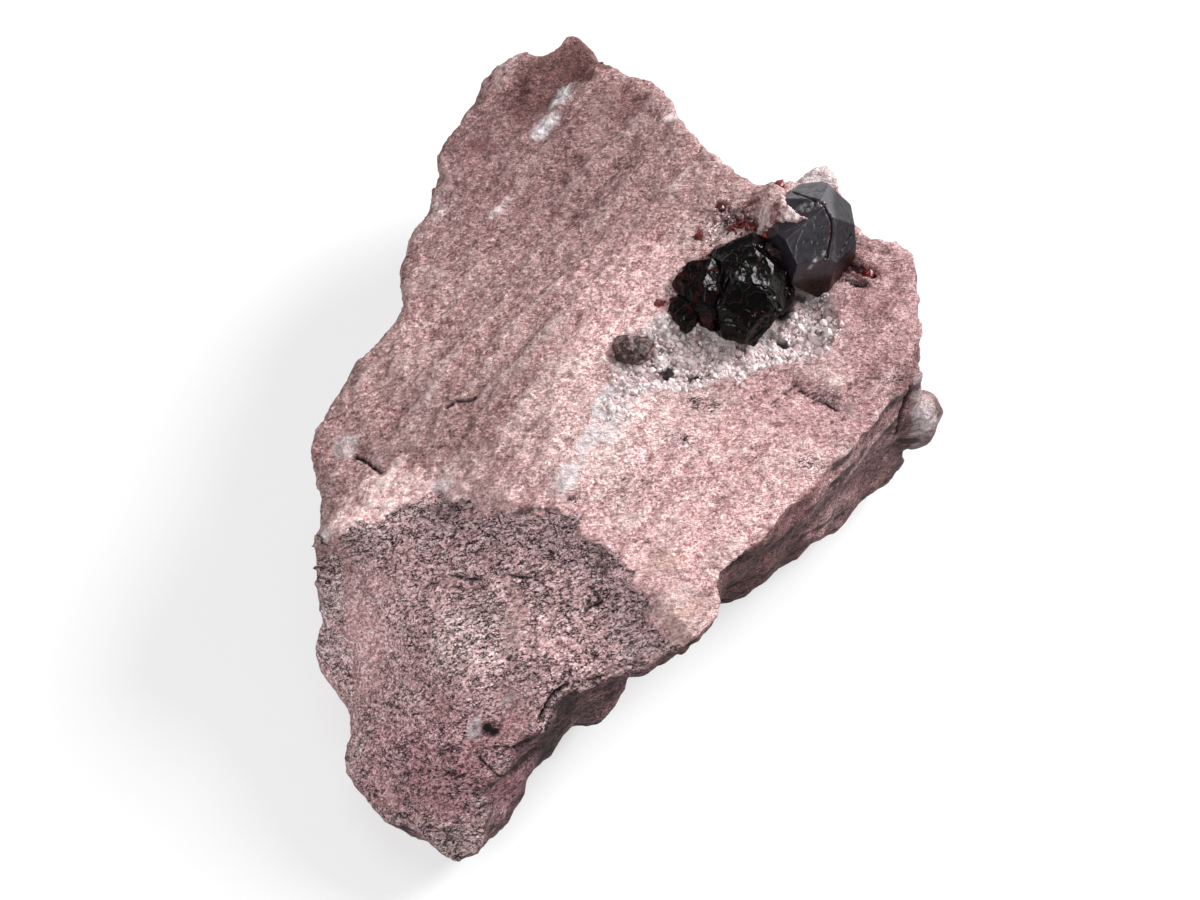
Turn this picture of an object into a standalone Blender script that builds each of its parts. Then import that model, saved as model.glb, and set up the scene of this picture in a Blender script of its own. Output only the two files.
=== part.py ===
"""Garnet in matrix: a broken piece of pink rhyolite with dark garnets in a shallow quartz-lined pocket.

The rock is a block with the plan of its upper rim. Its top follows a few broken faces, its flanks lean
from the rim to a smaller foot, and it rests on a flat broken face. Sizes are in millimetres here and are
turned into metres where meshes are made. +Z is up, +Y runs along the rock and +X across it.
"""

import math
import random

import bmesh
import bpy
import numpy as np
from mathutils import Matrix, Vector, noise

MM = 0.001
NAME = "garnet_in_matrix"
GAP = 0.3  # clear space kept between pieces that touch
SEED = 11

# ---------------------------------------------------------------- the rock's plan and faces

# Corners of the upper rim, clockwise from the far tip.
RIM = (
    (-6.0, 43.4), (-4.4, 43.0), (-2.8, 39.8), (-0.6, 38.0), (2.2, 36.5), (4.5, 33.1), (5.1, 30.6),
    (8.4, 26.6), (11.6, 22.6), (16.0, 22.3), (18.4, 24.4), (20.0, 24.4), (21.2, 23.2), (23.0, 17.8),
    (24.4, 18.2), (28.2, 17.0), (28.2, 13.7), (29.0, 12.2), (28.8, 9.0), (29.4, 7.6), (27.5, 5.5),
    (28.2, 4.3), (29.9, 3.1), (26.2, 0.3), (22.7, -4.1), (18.7, -7.9), (14.3, -12.7), (9.0, -18.2),
    (9.1, -19.6), (8.3, -22.1), (6.0, -25.0), (2.5, -26.2), (-1.2, -26.6), (-3.5, -27.7), (-7.0, -28.3),
    (-7.8, -30.2), (-12.1, -34.2), (-12.8, -35.2), (-13.9, -40.0), (-14.8, -40.6), (-16.2, -40.6),
    (-18.6, -39.5), (-20.9, -37.7), (-24.4, -35.8), (-25.8, -33.4), (-27.4, -31.7), (-27.8, -30.2),
    (-27.2, -29.6), (-26.8, -26.1), (-30.8, -22.2), (-31.0, -21.2), (-30.1, -18.2), (-30.2, -16.3),
    (-30.9, -13.5), (-30.8, -12.6), (-30.1, -12.0), (-30.0, -10.5), (-30.3, -7.9), (-29.9, -4.6),
    (-30.3, -2.5), (-29.1, 0.0), (-28.4, 2.7), (-22.0, 12.2), (-22.2, 16.4), (-21.6, 20.6), (-19.5, 23.6),
    (-18.8, 26.2), (-19.1, 31.0), (-18.6, 32.4), (-15.0, 36.6), (-14.5, 39.0), (-11.6, 41.5),
    (-10.4, 42.0), (-7.8, 41.3),
)

# How far the foot stands in from the rim (or out, at the far side), as (rim x, rim y, shift x, shift y).
FOOT_SHIFT = (
    (-6.0, 43.0, 1.0, -2.5), (5.0, 32.0, 1.5, 2.5), (13.5, 22.5, 2.0, 3.5), (20.0, 24.0, 1.5, 1.5),
    (28.0, 16.5, -2.5, -1.0), (28.7, 8.0, -2.5, 0.0), (29.0, 3.0, -0.6, 0.6), (26.2, 0.3, 0.8, 1.0),
    (22.5, -4.0, -0.3, 0.8), (18.5, -7.5, -0.2, 0.6), (14.0, -12.5, -1.0, 2.4), (9.0, -18.5, -1.0, 5.0),
    (6.0, -25.0, -2.0, 8.0), (2.5, -26.0, -2.2, 6.5), (-3.5, -27.5, -1.5, 2.6), (-7.5, -30.0, -1.2, 0.2),
    (-12.5, -34.5, 0.6, 0.0), (-16.0, -40.0, 1.2, 2.0), (-24.5, -36.0, 2.2, 1.8), (-27.5, -29.0, 2.6, 0.0),
    (-31.0, -20.0, 3.0, 0.5), (-31.0, -8.0, 3.2, 0.0), (-31.0, 0.0, 3.0, -1.0), (-22.0, 14.0, 2.6, -1.2),
    (-19.0, 29.0, 2.2, -0.5), (-14.5, 38.5, 2.4, -1.5),
)

# Broken faces of the top: a point on the face, its rise per mm along x and y, and how softly it meets
# the faces before it. The near faces lie below the ledge.
FAR_FACES = (
    ("main", (-5.5, 0.0, 27.6), (-0.125, 0.10), 0.0),
    ("upper_left", (-5.5, 0.0, 27.6), (0.25, -0.13), 2.5),
    ("left_shoulder", (-18.0, -3.0, 25.0), (0.33, 0.10), 2.5),
)
NEAR_FACES = (
    ("lower", (-8.0, -12.0, 25.5), (0.21, 0.36), 1.5),
    ("left_side", (-24.4, -13.7, 20.2), (0.80, 0.58), 1.5),
    ("toe", (-13.0, -33.0, 15.0), (0.25, 0.90), 2.0),
)

# The ledge that runs across the top: everything on its near side lies lower.
LEDGE = (
    (-34.0, -14.0), (-28.5, -12.8), (-25.6, -11.5), (-18.0, -10.2), (-13.0, -10.8), (-7.8, -12.7),
    (-2.6, -16.4), (1.2, -20.2), (6.8, -23.6), (12.0, -28.0),
)
LEDGE_DROP = 0.9
LEDGE_WIDTH = 1.8

# Gentle swellings and hollows of the top: x, y, half lengths along and across, turn in degrees, height.
SWELLINGS = (
    (15.0, 11.5, 9.0, 6.0, 30.0, -2.4),  # the pocket around the garnets
    (14.5, 20.6, 3.2, 1.8, -5.0, 1.6),  # rock drawn up against the large garnet
    (19.6, 23.4, 2.4, 1.5, 0.0, 1.2),  # lump behind the large garnet
    (-6.6, 22.0, 9.0, 4.0, 50.0, -0.9),  # shallow hollow of the upper left face
    (-18.0, 8.5, 7.0, 3.0, 50.0, -0.7),
    (-6.6, 37.0, 5.5, 1.2, 52.0, -1.1),  # groove beside the far tip
    (-10.5, 40.5, 2.2, 1.4, 20.0, 0.8),
    (-8.3, -25.0, 3.6, 2.4, 25.0, 1.3),  # humps of the lower face
    (-15.0, -28.0, 3.4, 2.2, 60.0, 0.9),
    (-19.0, -17.0, 5.0, 3.0, 80.0, -0.8),
    (-2.5, -21.5, 4.0, 2.2, 10.0, -0.7),
    (17.5, 0.2, 5.0, 1.0, -20.0, -0.8),  # long dents of the main face
    (-16.2, -0.6, 1.6, 0.6, 20.0, -0.7),
    (-25.4, -4.8, 2.2, 0.7, -40.0, -0.9),
)

BLOCK_HEIGHT = 30.0
BLOCK_FACE = 0.9  # edge length of the even faces that the block is given before it is shaped
SPINE = ((-5.0, 30.0), (4.0, 6.0), (-12.0, -26.0))  # the middle line that the flanks face away from
FOOT_CHAMFER = 2.2
FOOT_CHAMFER_HEIGHT = 4.5
BASE_CUT = 0.7  # what the flat resting face takes off the uneven underside
ROCK_TRIANGLES = 5800

RIM_JAG_LENGTH = 3.0  # the rim's jags are smoothed over this length along it, towards the foot
RIM_JAG_DEPTH = 0.4  # part of the height over which they fade
RIM_JAG_REACH = 3.0  # how far in from the rim they fade
LEAN_POWER = 1.1  # above 1 the flanks lean more near the foot
INNER_REACH = 8.0  # the flanks' shaping fades within this distance of the spine

# Unevenness, as heights in mm, with the sizes of the features that make it.
FLANK_SWELL, FLANK_SWELL_SIZE = 1.3, 14.0
FLANK_CHIP_HEIGHT, LOWER_CHIP_HEIGHT, CHIP_SIZE = 1.6, 0.5, 7.0
FLANK_LUMP_HEIGHT, TOP_LUMP_HEIGHT, LUMP_SIZE = 0.7, 0.28, 5.0
LOWER_GRIT_HEIGHT, GRIT_HEIGHT, GRIT_SIZE = 0.22, 0.08, 2.2
TOP_STREAK_HEIGHT = 0.22
STEEP_FLANK = 0.8  # faces whose normal rises less than this count more and more as flank
# The rough lower area: below this height, over this fade, and over this run along -y.
LOWER_TOP, LOWER_FADE, LOWER_RUN = 24.0, 3.0, 12.0
# The flow streaks of the top are long along one way and narrow across it: their pattern's three axes.
STREAK_AXES = ((0.062, 0.43, 0.0), (0.055, -0.33, 0.0), (0.0, 0.0, 0.2))

# Flat chips broken off the flanks: a point on each, the way it faces in plan and over the horizontal in
# degrees, and how far it reaches.
FLANK_CHIPS = (
    ((3.0, 30.0, 7.0), 40.0, -14.0, 11.0),
    ((9.5, 25.5, 15.0), 55.0, 12.0, 9.0),
    ((17.5, 24.0, 8.0), 80.0, -16.0, 9.0),
    ((24.0, 18.5, 12.0), 35.0, 8.0, 8.0),
    ((27.0, 10.5, 8.0), 0.0, -12.0, 9.0),
    ((4.6, -17.4, 8.0), -52.0, -24.0, 8.0),
    ((-28.6, -4.0, 4.0), 176.0, -24.0, 7.0),
    ((-26.0, 4.6, 8.0), 148.0, -12.0, 8.0),
    ((-20.0, 17.0, 8.0), 160.0, -14.0, 10.0),
    ((-17.6, 29.0, 11.0), 172.0, 5.0, 8.0),
    ((-9.5, 38.5, 7.0), 128.0, -18.0, 9.0),
)
CHIP_SOFTNESS = 0.25

# The rounded knob on the near flank: its middle and half sizes.
KNOB = (28.8, 3.4, 13.2)
KNOB_HALVES = (2.8, 2.5, 4.8)
KNOB_UNEVEN = 0.12

# ---------------------------------------------------------------- the crystals

LARGE_GARNET = (17.9, 16.8, 27.3)
LARGE_GARNET_RADIUS = 4.75
LARGE_GARNET_TURN = (24.0, 20.0, 12.0)  # degrees about x, y and z

# Lobes of the black garnet: centre, half sizes and seed of its broken faces.
BLACK_GARNET_LOBES = (
    ((11.5, 11.2, 26.6), (4.6, 5.2, 4.3), 3),
    ((7.6, 11.0, 26.1), (3.9, 4.2, 3.3), 5),
    ((14.9, 11.0, 25.2), (2.2, 1.7, 1.9), 8),
)
BROKEN_FACES = 26
GOLDEN_TURN = 2.39996  # radians between one broken face and the next, so that they spread evenly
FACE_REACH = (0.80, 1.0)  # part of the full reach at which a broken face cuts
KITE_REACH = (0.93, 1.03)

SMALL_GARNET_LOBES = (
    ((0.0, 4.4, 26.9), (1.5, 1.3, 1.4), 21),
    ((1.6, 4.5, 26.9), (1.3, 1.0, 1.2), 22),
)

# Small garnet grains: x, y, height over the rock's face and radius.
GRAINS = (
    (11.2, 18.6, 0.1, 0.75),
    (15.2, 22.0, 0.2, 0.70),
    (2.9, 9.3, 0.0, 0.65),
    (7.0, 16.6, 0.1, 0.60),
    (23.9, 13.9, 0.0, 0.80),
    (9.2, 19.8, 0.0, 0.55),
)

# Plan of the quartz crust, clockwise.
CRUST_RIM = (
    (14.4, 13.0), (17.2, 11.6), (20.2, 11.8), (20.8, 8.4), (19.6, 5.4), (15.8, 3.6), (11.0, 2.2),
    (6.2, 0.6), (1.4, 0.4), (-1.2, 1.8), (-2.2, 4.0), (-1.0, 6.2), (1.6, 6.6), (4.0, 7.6), (9.0, 9.5),
)
CRUST_DEPTH = 1.5
CRUST_RISE = 0.15
CRUST_CLEARANCE = 5.0  # how far the cut for the crust reaches up past its bed
CRUST_FACE = 0.8
CRUST_TRIANGLES = 420
QUARTZ_TRIES = 2500
QUARTZ_SPACING = 0.72  # centres are at least this part of the two radii apart
QUARTZ_RADIUS = (0.6, 1.2)
QUARTZ_RISE = (0.35, 1.2)
QUARTZ_TILT = 38.0
CRYSTAL_MARGIN = 0.3


# ---------------------------------------------------------------- small helpers


def smoothstep(t):
    t = np.clip(t, 0.0, 1.0)
    return t * t * (3.0 - 2.0 * t)


def softer_minimum(a, b, softness):
    blend = np.clip(0.5 + 0.5 * (b - a) / softness, 0.0, 1.0)
    return b * (1.0 - blend) + a * blend - softness * blend * (1.0 - blend)


def vertices_mm(mesh):
    flat = np.empty(len(mesh.vertices) * 3)
    mesh.vertices.foreach_get("co", flat)
    return flat.reshape(-1, 3) / MM


def normals(mesh):
    flat = np.empty(len(mesh.vertices) * 3)
    mesh.vertices.foreach_get("normal", flat)
    return flat.reshape(-1, 3)


def set_vertices_mm(mesh, points):
    mesh.vertices.foreach_set("co", (points * MM).ravel())
    mesh.update()


def collection(name):
    made = bpy.data.collections.new(name)
    bpy.context.scene.collection.children.link(made)
    return made


def new_object(name, bm, where):
    mesh = bpy.data.meshes.new(name)
    bmesh.ops.recalc_face_normals(bm, faces=bm.faces)
    bm.to_mesh(mesh)
    bm.free()
    made = bpy.data.objects.new(name, mesh)
    where.objects.link(made)
    return made


def apply_modifiers(made):
    """The object keeps its evaluated mesh and no modifier."""
    seen = made.evaluated_get(bpy.context.evaluated_depsgraph_get())
    mesh = bpy.data.meshes.new_from_object(seen)
    made.modifiers.clear()
    made.data = mesh


def give_even_faces(made, size):
    remesh = made.modifiers.new("even faces", "REMESH")
    remesh.mode = "VOXEL"
    remesh.voxel_size = size * MM
    apply_modifiers(made)


def reduce_to(made, triangles):
    made.data.calc_loop_triangles()
    decimate = made.modifiers.new("fewer faces", "DECIMATE")
    decimate.ratio = min(1.0, triangles / len(made.data.loop_triangles))
    apply_modifiers(made)


def boolean(made, tool, operation, use_self=False):
    cut = made.modifiers.new(f"{operation.lower()} {tool.name}", "BOOLEAN")
    cut.operation = operation
    cut.solver = "EXACT"
    cut.use_self = use_self
    cut.object = tool
    apply_modifiers(made)


def outline_block(outline, height):
    """An upright block with this plan, from z = 0 to its height."""
    bm = bmesh.new()
    corners = [bm.verts.new((x * MM, y * MM, 0.0)) for x, y in outline]
    bm.faces.new(corners)
    risen = bmesh.ops.extrude_face_region(bm, geom=bm.faces[:])["geom"]
    tops = [v for v in risen if isinstance(v, bmesh.types.BMVert)]
    bmesh.ops.translate(bm, verts=tops, vec=(0.0, 0.0, height * MM))
    bmesh.ops.triangulate(bm, faces=bm.faces)
    return bm


def rock_noise(points, scale, octaves, seed):
    """Fractal noise of about -1 to 1 at each point, with features of this scale in mm."""
    shift = Vector((seed * 17.3, seed * 5.1, seed * 9.7))
    return np.array(
        [noise.fractal(Vector(p) / scale + shift, 1.0, 2.1, octaves) for p in points]
    )


def scallops(points, scale, seed):
    """0 in the middle of each shell-shaped chip and about 1 on the ridges between chips."""
    shift = Vector((seed * 3.7, seed * 11.9, seed * 7.1))
    return np.array([noise.voronoi(Vector(p) / scale + shift)[0][0] for p in points])


# ---------------------------------------------------------------- the rock


def lowest_face(faces, x, y):
    """The lowest of some faces over the plan point (x, y), softly blended where they meet."""
    height = None
    for _, (px, py, pz), (along_x, along_y), softness in faces:
        face = pz + along_x * (x - px) + along_y * (y - py)
        height = face if height is None else softer_minimum(height, face, softness)
    return height


def upper_surface(x, y):
    """Height of the rock's top over the plan point (x, y), before its fine unevenness."""
    far = lowest_face(FAR_FACES, x, y)
    near = lowest_face(FAR_FACES[:1] + NEAR_FACES, x, y) - LEDGE_DROP
    ledge_x, ledge_y = np.array(LEDGE).T
    below = np.interp(x, ledge_x, ledge_y) - y
    wander = 0.7 * np.sin(x * 0.8) + 0.5 * np.sin(x * 1.7 + 1.0)
    height = far + (near - far) * smoothstep((below + wander) / LEDGE_WIDTH)
    for sx, sy, along, across, turn, rise in SWELLINGS:
        c, s = math.cos(math.radians(turn)), math.sin(math.radians(turn))
        u = ((x - sx) * c + (y - sy) * s) / along
        v = ((y - sy) * c - (x - sx) * s) / across
        height = height + rise * np.exp(-(u * u + v * v))
    return height


def foot_shift(x, y):
    """How far the foot is shifted under each plan point: a blend of the nearest stations' shifts."""
    total, shift_x, shift_y = 0.0, 0.0, 0.0
    for sx, sy, dx, dy in FOOT_SHIFT:
        weight = 1.0 / (4.0 + (x - sx) ** 2 + (y - sy) ** 2) ** 2
        total = total + weight
        shift_x = shift_x + weight * dx
        shift_y = shift_y + weight * dy
    return shift_x / total, shift_y / total


def rim_stations():
    """Points about a millimetre apart along the rim, and the shift from each to the smoothed rim."""
    corners = np.array(RIM)
    ends = np.roll(corners, -1, axis=0)
    runs = [
        start + (end - start) * np.linspace(0.0, 1.0, max(2, int(np.hypot(*(end - start)))), False)[:, None]
        for start, end in zip(corners, ends)
    ]
    line = np.vstack(runs)
    smooth = line.copy()
    for _ in range(int(RIM_JAG_LENGTH**2)):
        smooth = 0.5 * smooth + 0.25 * (np.roll(smooth, 1, axis=0) + np.roll(smooth, -1, axis=0))
    return line, smooth - line


def rim_smoothing(x, y):
    """The shift that carries each plan point from under the jagged rim to under the smoothed one."""
    line, shifts = rim_stations()
    apart = np.hypot(x[:, None] - line[:, 0], y[:, None] - line[:, 1])
    nearest = np.argmin(apart, axis=1)
    fade = np.exp(-apart[np.arange(len(x)), nearest] / RIM_JAG_REACH)
    return shifts[nearest, 0] * fade, shifts[nearest, 1] * fade


def break_chips(points):
    """Presses whatever stands out beyond a chip's plane back onto it, near the chip's own point."""
    for spot, facing, lift, reach in FLANK_CHIPS:
        c, s = math.cos(math.radians(facing)), math.sin(math.radians(facing))
        level = math.cos(math.radians(lift))
        way = np.array((c * level, s * level, math.sin(math.radians(lift))))
        off = points - np.array(spot)
        beyond = off @ way
        near = smoothstep((1.0 - np.linalg.norm(off, axis=1) / reach) / CHIP_SOFTNESS)
        points = points - way * (np.maximum(beyond, 0.0) * near)[:, None]
    return points


def towards_spine(x, y):
    """Unit vectors in plan from each point to the rock's middle line."""
    best = np.full(x.shape, np.inf)
    way_x, way_y = np.zeros(x.shape), np.zeros(x.shape)
    for (ax, ay), (bx, by) in zip(SPINE, SPINE[1:]):
        length = (bx - ax) ** 2 + (by - ay) ** 2
        t = np.clip(((x - ax) * (bx - ax) + (y - ay) * (by - ay)) / length, 0.0, 1.0)
        dx, dy = ax + t * (bx - ax) - x, ay + t * (by - ay) - y
        distance = np.hypot(dx, dy) + 1e-6
        nearer = distance < best
        best = np.where(nearer, distance, best)
        way_x = np.where(nearer, dx / distance, way_x)
        way_y = np.where(nearer, dy / distance, way_y)
    return way_x, way_y, best


def shape_rock(points):
    """Carries the upright block's points to the broken rock: top faces, leaning flanks, chamfered foot."""
    x, y, z = points.T
    part_up = np.clip(z / BLOCK_HEIGHT, 0.0, 1.0)
    height = part_up * upper_surface(x, y)
    shift_x, shift_y = foot_shift(x, y)
    lean = (1.0 - part_up) ** LEAN_POWER
    way_x, way_y, distance = towards_spine(x, y)
    inner = smoothstep(distance / INNER_REACH)
    chamfer = FOOT_CHAMFER * smoothstep(1.0 - height / FOOT_CHAMFER_HEIGHT) * inner
    swell = rock_noise(np.column_stack((x, y, height)), FLANK_SWELL_SIZE, 2, SEED)
    uneven = FLANK_SWELL * swell * inner * lean
    smooth_x, smooth_y = rim_smoothing(x, y)
    faded = smoothstep((1.0 - part_up) / RIM_JAG_DEPTH)
    x = x + shift_x * lean + way_x * (chamfer + uneven) + smooth_x * faded
    y = y + shift_y * lean + way_y * (chamfer + uneven) + smooth_y * faded
    return break_chips(np.column_stack((x, y, height)))


def weather_rock(mesh):
    """Gives the shaped rock its chips, lumps and streaks, along its own normals."""
    points, ways = vertices_mm(mesh), normals(mesh)
    flank = 1.0 - smoothstep(np.abs(ways[:, 2]) / STEEP_FLANK)
    lower = smoothstep((LOWER_TOP - points[:, 2]) / LOWER_FADE) * smoothstep(-points[:, 1] / LOWER_RUN)
    chips = scallops(points, CHIP_SIZE, 1) - 0.5
    lumps = rock_noise(points, LUMP_SIZE, 4, 2)
    streaks = rock_noise(points @ np.array(STREAK_AXES), 1.0, 3, 3)
    grit = rock_noise(points, GRIT_SIZE, 2, 4)
    on_flank = FLANK_CHIP_HEIGHT * chips + FLANK_LUMP_HEIGHT * lumps
    on_top = TOP_LUMP_HEIGHT * lumps + TOP_STREAK_HEIGHT * streaks + LOWER_CHIP_HEIGHT * chips * lower
    push = flank * on_flank + (1.0 - flank) * on_top + (LOWER_GRIT_HEIGHT * lower + GRIT_HEIGHT) * grit
    set_vertices_mm(mesh, points + ways * push[:, None])


def cut_flat_base(made, where):
    """A flat face to rest on, a little above the uneven underside."""
    bm = bmesh.new()
    size = 4 * BLOCK_HEIGHT
    bmesh.ops.create_cube(bm, size=size * MM)
    bmesh.ops.translate(bm, verts=bm.verts, vec=(0.0, 0.0, (BASE_CUT - size / 2) * MM))
    below = new_object("below", bm, where)
    boolean(made, below, "DIFFERENCE")
    bpy.data.objects.remove(below)


def knob(where):
    bm = bmesh.new()
    bmesh.ops.create_icosphere(bm, subdivisions=3, radius=1.0)
    for vert in bm.verts:
        swell = 1.0 + KNOB_UNEVEN * noise.noise(vert.co * 2.0)
        vert.co = Vector([c + h * swell * w for c, h, w in zip(KNOB, KNOB_HALVES, vert.co)]) * MM
    return new_object("knob", bm, where)


def make_rock(where):
    rock = new_object("matrix", outline_block(RIM, BLOCK_HEIGHT), where)
    give_even_faces(rock, BLOCK_FACE)
    set_vertices_mm(rock.data, shape_rock(vertices_mm(rock.data)))
    weather_rock(rock.data)
    reduce_to(rock, ROCK_TRIANGLES)
    lump = knob(where)
    boolean(rock, lump, "UNION")
    bpy.data.objects.remove(lump)
    cut_flat_base(rock, where)
    return rock


# ---------------------------------------------------------------- the crystals


def cut_crystal(size, cuts):
    """A block cut down by planes, each a direction and a distance from the middle, in mm."""
    bm = bmesh.new()
    bmesh.ops.create_cube(bm, size=size * MM)
    for direction, distance in cuts:
        way = Vector(direction).normalized()
        everything = bm.verts[:] + bm.edges[:] + bm.faces[:]
        cut = bmesh.ops.bisect_plane(
            bm, geom=everything, plane_co=way * distance * MM, plane_no=way, clear_outer=True
        )
        edges = [e for e in cut["geom_cut"] if isinstance(e, bmesh.types.BMEdge)]
        if edges:
            bmesh.ops.edgeloop_fill(bm, edges=edges)
    return bm


def trapezohedron_cuts(radius, growth):
    """The 24 kite faces of a garnet, each a little nearer or further than the ideal crystal's."""
    chance = random.Random(SEED)
    cuts = []
    for long_axis in range(3):
        for signs in range(8):
            way = [1.0, 1.0, 1.0]
            way[long_axis] = 2.0
            way = [w * (-1 if signs >> axis & 1 else 1) for axis, w in enumerate(way)]
            cuts.append((way, radius * chance.uniform(*KITE_REACH) + growth))
    return cuts


def large_garnet(growth):
    bm = cut_crystal(4 * LARGE_GARNET_RADIUS, trapezohedron_cuts(LARGE_GARNET_RADIUS, growth))
    for angle, axis in zip(LARGE_GARNET_TURN, "XYZ"):
        bmesh.ops.transform(bm, matrix=Matrix.Rotation(math.radians(angle), 4, axis), verts=bm.verts)
    bmesh.ops.translate(bm, vec=Vector(LARGE_GARNET) * MM, verts=bm.verts)
    return bm


def broken_lobe(centre, halves, seed, growth):
    """A lump of garnet bounded by broken faces in scattered directions."""
    chance = random.Random(seed)
    cuts = []
    for step in range(BROKEN_FACES):
        up = 1.0 - 2.0 * (step + 0.5) / BROKEN_FACES
        around = step * GOLDEN_TURN + chance.uniform(-0.35, 0.35)
        side = math.sqrt(1.0 - up * up)
        way = Vector((side * math.cos(around), side * math.sin(around), up))
        reach = math.sqrt(sum((w * h) ** 2 for w, h in zip(way, halves)))
        cuts.append((way, reach * chance.uniform(*FACE_REACH) + growth))
    bm = cut_crystal(4 * max(halves), cuts)
    bmesh.ops.translate(bm, vec=Vector(centre) * MM, verts=bm.verts)
    return bm


def join_shapes(name, shapes, where):
    """One solid from shapes that overlap."""
    first = new_object(name, shapes[0], where)
    for number, shape in enumerate(shapes[1:], 1):
        other = new_object(f"{name}_lobe_{number}", shape, where)
        boolean(first, other, "UNION")
        bpy.data.objects.remove(other)
    return first


def garnet_cluster(name, growth, where):
    lobes = [broken_lobe(*lobe, growth) for lobe in BLACK_GARNET_LOBES]
    return join_shapes(name, [large_garnet(growth), *lobes], where)


def small_garnet(name, growth, where):
    return join_shapes(name, [broken_lobe(*lobe, growth) for lobe in SMALL_GARNET_LOBES], where)


def grain(name, number, growth, where):
    x, y, rise, radius = GRAINS[number]
    centre = (x, y, float(upper_surface(np.array(x), np.array(y))) + rise)
    halves = (radius, radius * 0.85, radius * 0.8)
    return new_object(name, broken_lobe(centre, halves, 40 + number, growth), where)


def crust_slab(name, growth, rise, where):
    """The bed of the quartz crust: it follows the pocket's floor and sinks into the rock."""
    middle = np.mean(np.array(CRUST_RIM), axis=0)
    grown = []
    for corner in CRUST_RIM:
        way = np.array(corner) - middle
        grown.append(tuple(np.array(corner) + way / np.hypot(*way) * growth))
    low = -CRUST_DEPTH - growth
    slab = new_object(name, outline_block(grown, rise - low), where)
    give_even_faces(slab, CRUST_FACE)
    x, y, z = vertices_mm(slab.data).T
    set_vertices_mm(slab.data, np.column_stack((x, y, upper_surface(x, y) + low + z)))
    reduce_to(slab, CRUST_TRIANGLES)
    return slab


def inside_crust(x, y, margin):
    """Whether a plan point lies inside the crust's rim by at least the margin."""
    inside = False
    corners = list(CRUST_RIM)
    for (ax, ay), (bx, by) in zip(corners, corners[1:] + corners[:1]):
        if (ay > y) != (by > y) and x < (bx - ax) * (y - ay) / (by - ay) + ax:
            inside = not inside
        length = (bx - ax) ** 2 + (by - ay) ** 2
        t = min(1.0, max(0.0, ((x - ax) * (bx - ax) + (y - ay) * (by - ay)) / length))
        if math.hypot(ax + t * (bx - ax) - x, ay + t * (by - ay) - y) < margin:
            return False
    return inside


def quartz_crystal(x, y, radius, rise, chance):
    """A stubby six-sided crystal that narrows to its tip, rooted in the crust's bed."""
    bm = bmesh.new()
    depth = rise + CRUST_DEPTH * 0.6
    bmesh.ops.create_cone(
        bm, cap_ends=True, segments=6, radius1=radius * MM, radius2=radius * 0.45 * MM, depth=depth * MM
    )
    ground = float(upper_surface(np.array(x), np.array(y)))
    turn = Matrix.Rotation(chance.uniform(0, math.pi), 4, "Z")
    tilt = Matrix.Rotation(math.radians(chance.uniform(-QUARTZ_TILT, QUARTZ_TILT)), 4, "X")
    place = Matrix.Translation(Vector((x, y, ground + rise - depth / 2)) * MM)
    bmesh.ops.transform(bm, matrix=place @ turn @ tilt, verts=bm.verts)
    return bm


def make_crust(where, around):
    """The quartz crust: its bed with stubby crystals on it, clear of the garnets around it."""
    crust = crust_slab("quartz_crust", 0.0, CRUST_RISE, where)
    chance = random.Random(SEED)
    crystals = bpy.data.meshes.new("crystals")
    joined = bmesh.new()
    placed = []
    xs, ys = zip(*CRUST_RIM)
    for _ in range(QUARTZ_TRIES):
        x, y = chance.uniform(min(xs), max(xs)), chance.uniform(min(ys), max(ys))
        radius = chance.uniform(*QUARTZ_RADIUS)
        crowded = any(math.hypot(x - px, y - py) < (radius + pr) * QUARTZ_SPACING for px, py, pr in placed)
        if crowded or not inside_crust(x, y, radius + CRYSTAL_MARGIN):
            continue
        single = quartz_crystal(x, y, radius, chance.uniform(*QUARTZ_RISE), chance)
        single.to_mesh(crystals)
        single.free()
        joined.from_mesh(crystals)
        placed.append((x, y, radius))
    group = new_object("crystals", joined, where)
    boolean(crust, group, "UNION", use_self=True)
    bpy.data.objects.remove(group)
    for cutter in around:
        boolean(crust, cutter, "DIFFERENCE")
    keep_largest_piece(crust)
    return crust


def keep_largest_piece(made):
    """Drops the crumbs that a cut leaves loose."""
    bm = bmesh.new()
    bm.from_mesh(made.data)
    left, pieces = set(bm.verts), []
    while left:
        piece, front = set(), [left.pop()]
        while front:
            vert = front.pop()
            piece.add(vert)
            near = {edge.other_vert(vert) for edge in vert.link_edges} & left
            left -= near
            front.extend(near)
        pieces.append(piece)
    largest = max(pieces, key=len)
    crumbs = [v for v in bm.verts if v not in largest]
    bmesh.ops.delete(bm, geom=crumbs, context="VERTS")
    bm.to_mesh(made.data)
    bm.free()


# ---------------------------------------------------------------- materials and assembly


def material(name, colour, roughness, transmission=0.0):
    made = bpy.data.materials.new(name)
    made.use_nodes = True
    shader = made.node_tree.nodes["Principled BSDF"]
    shader.inputs["Base Color"].default_value = (*colour, 1.0)
    shader.inputs["Roughness"].default_value = roughness
    shader.inputs["Metallic"].default_value = 0.0
    shader.inputs["Transmission Weight"].default_value = transmission
    made.diffuse_color = (*colour, 1.0)
    return made


def stand_on_origin(pieces):
    """Moves every piece so that the whole stands on z = 0 with the middle of its box at x = y = 0."""
    bpy.context.view_layer.update()
    corners = np.vstack([vertices_mm(piece.data) for piece in pieces])
    low, high = corners.min(axis=0), corners.max(axis=0)
    shift = Vector((-(low[0] + high[0]) / 2, -(low[1] + high[1]) / 2, -low[2])) * MM
    for piece in pieces:
        piece.location = shift


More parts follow.
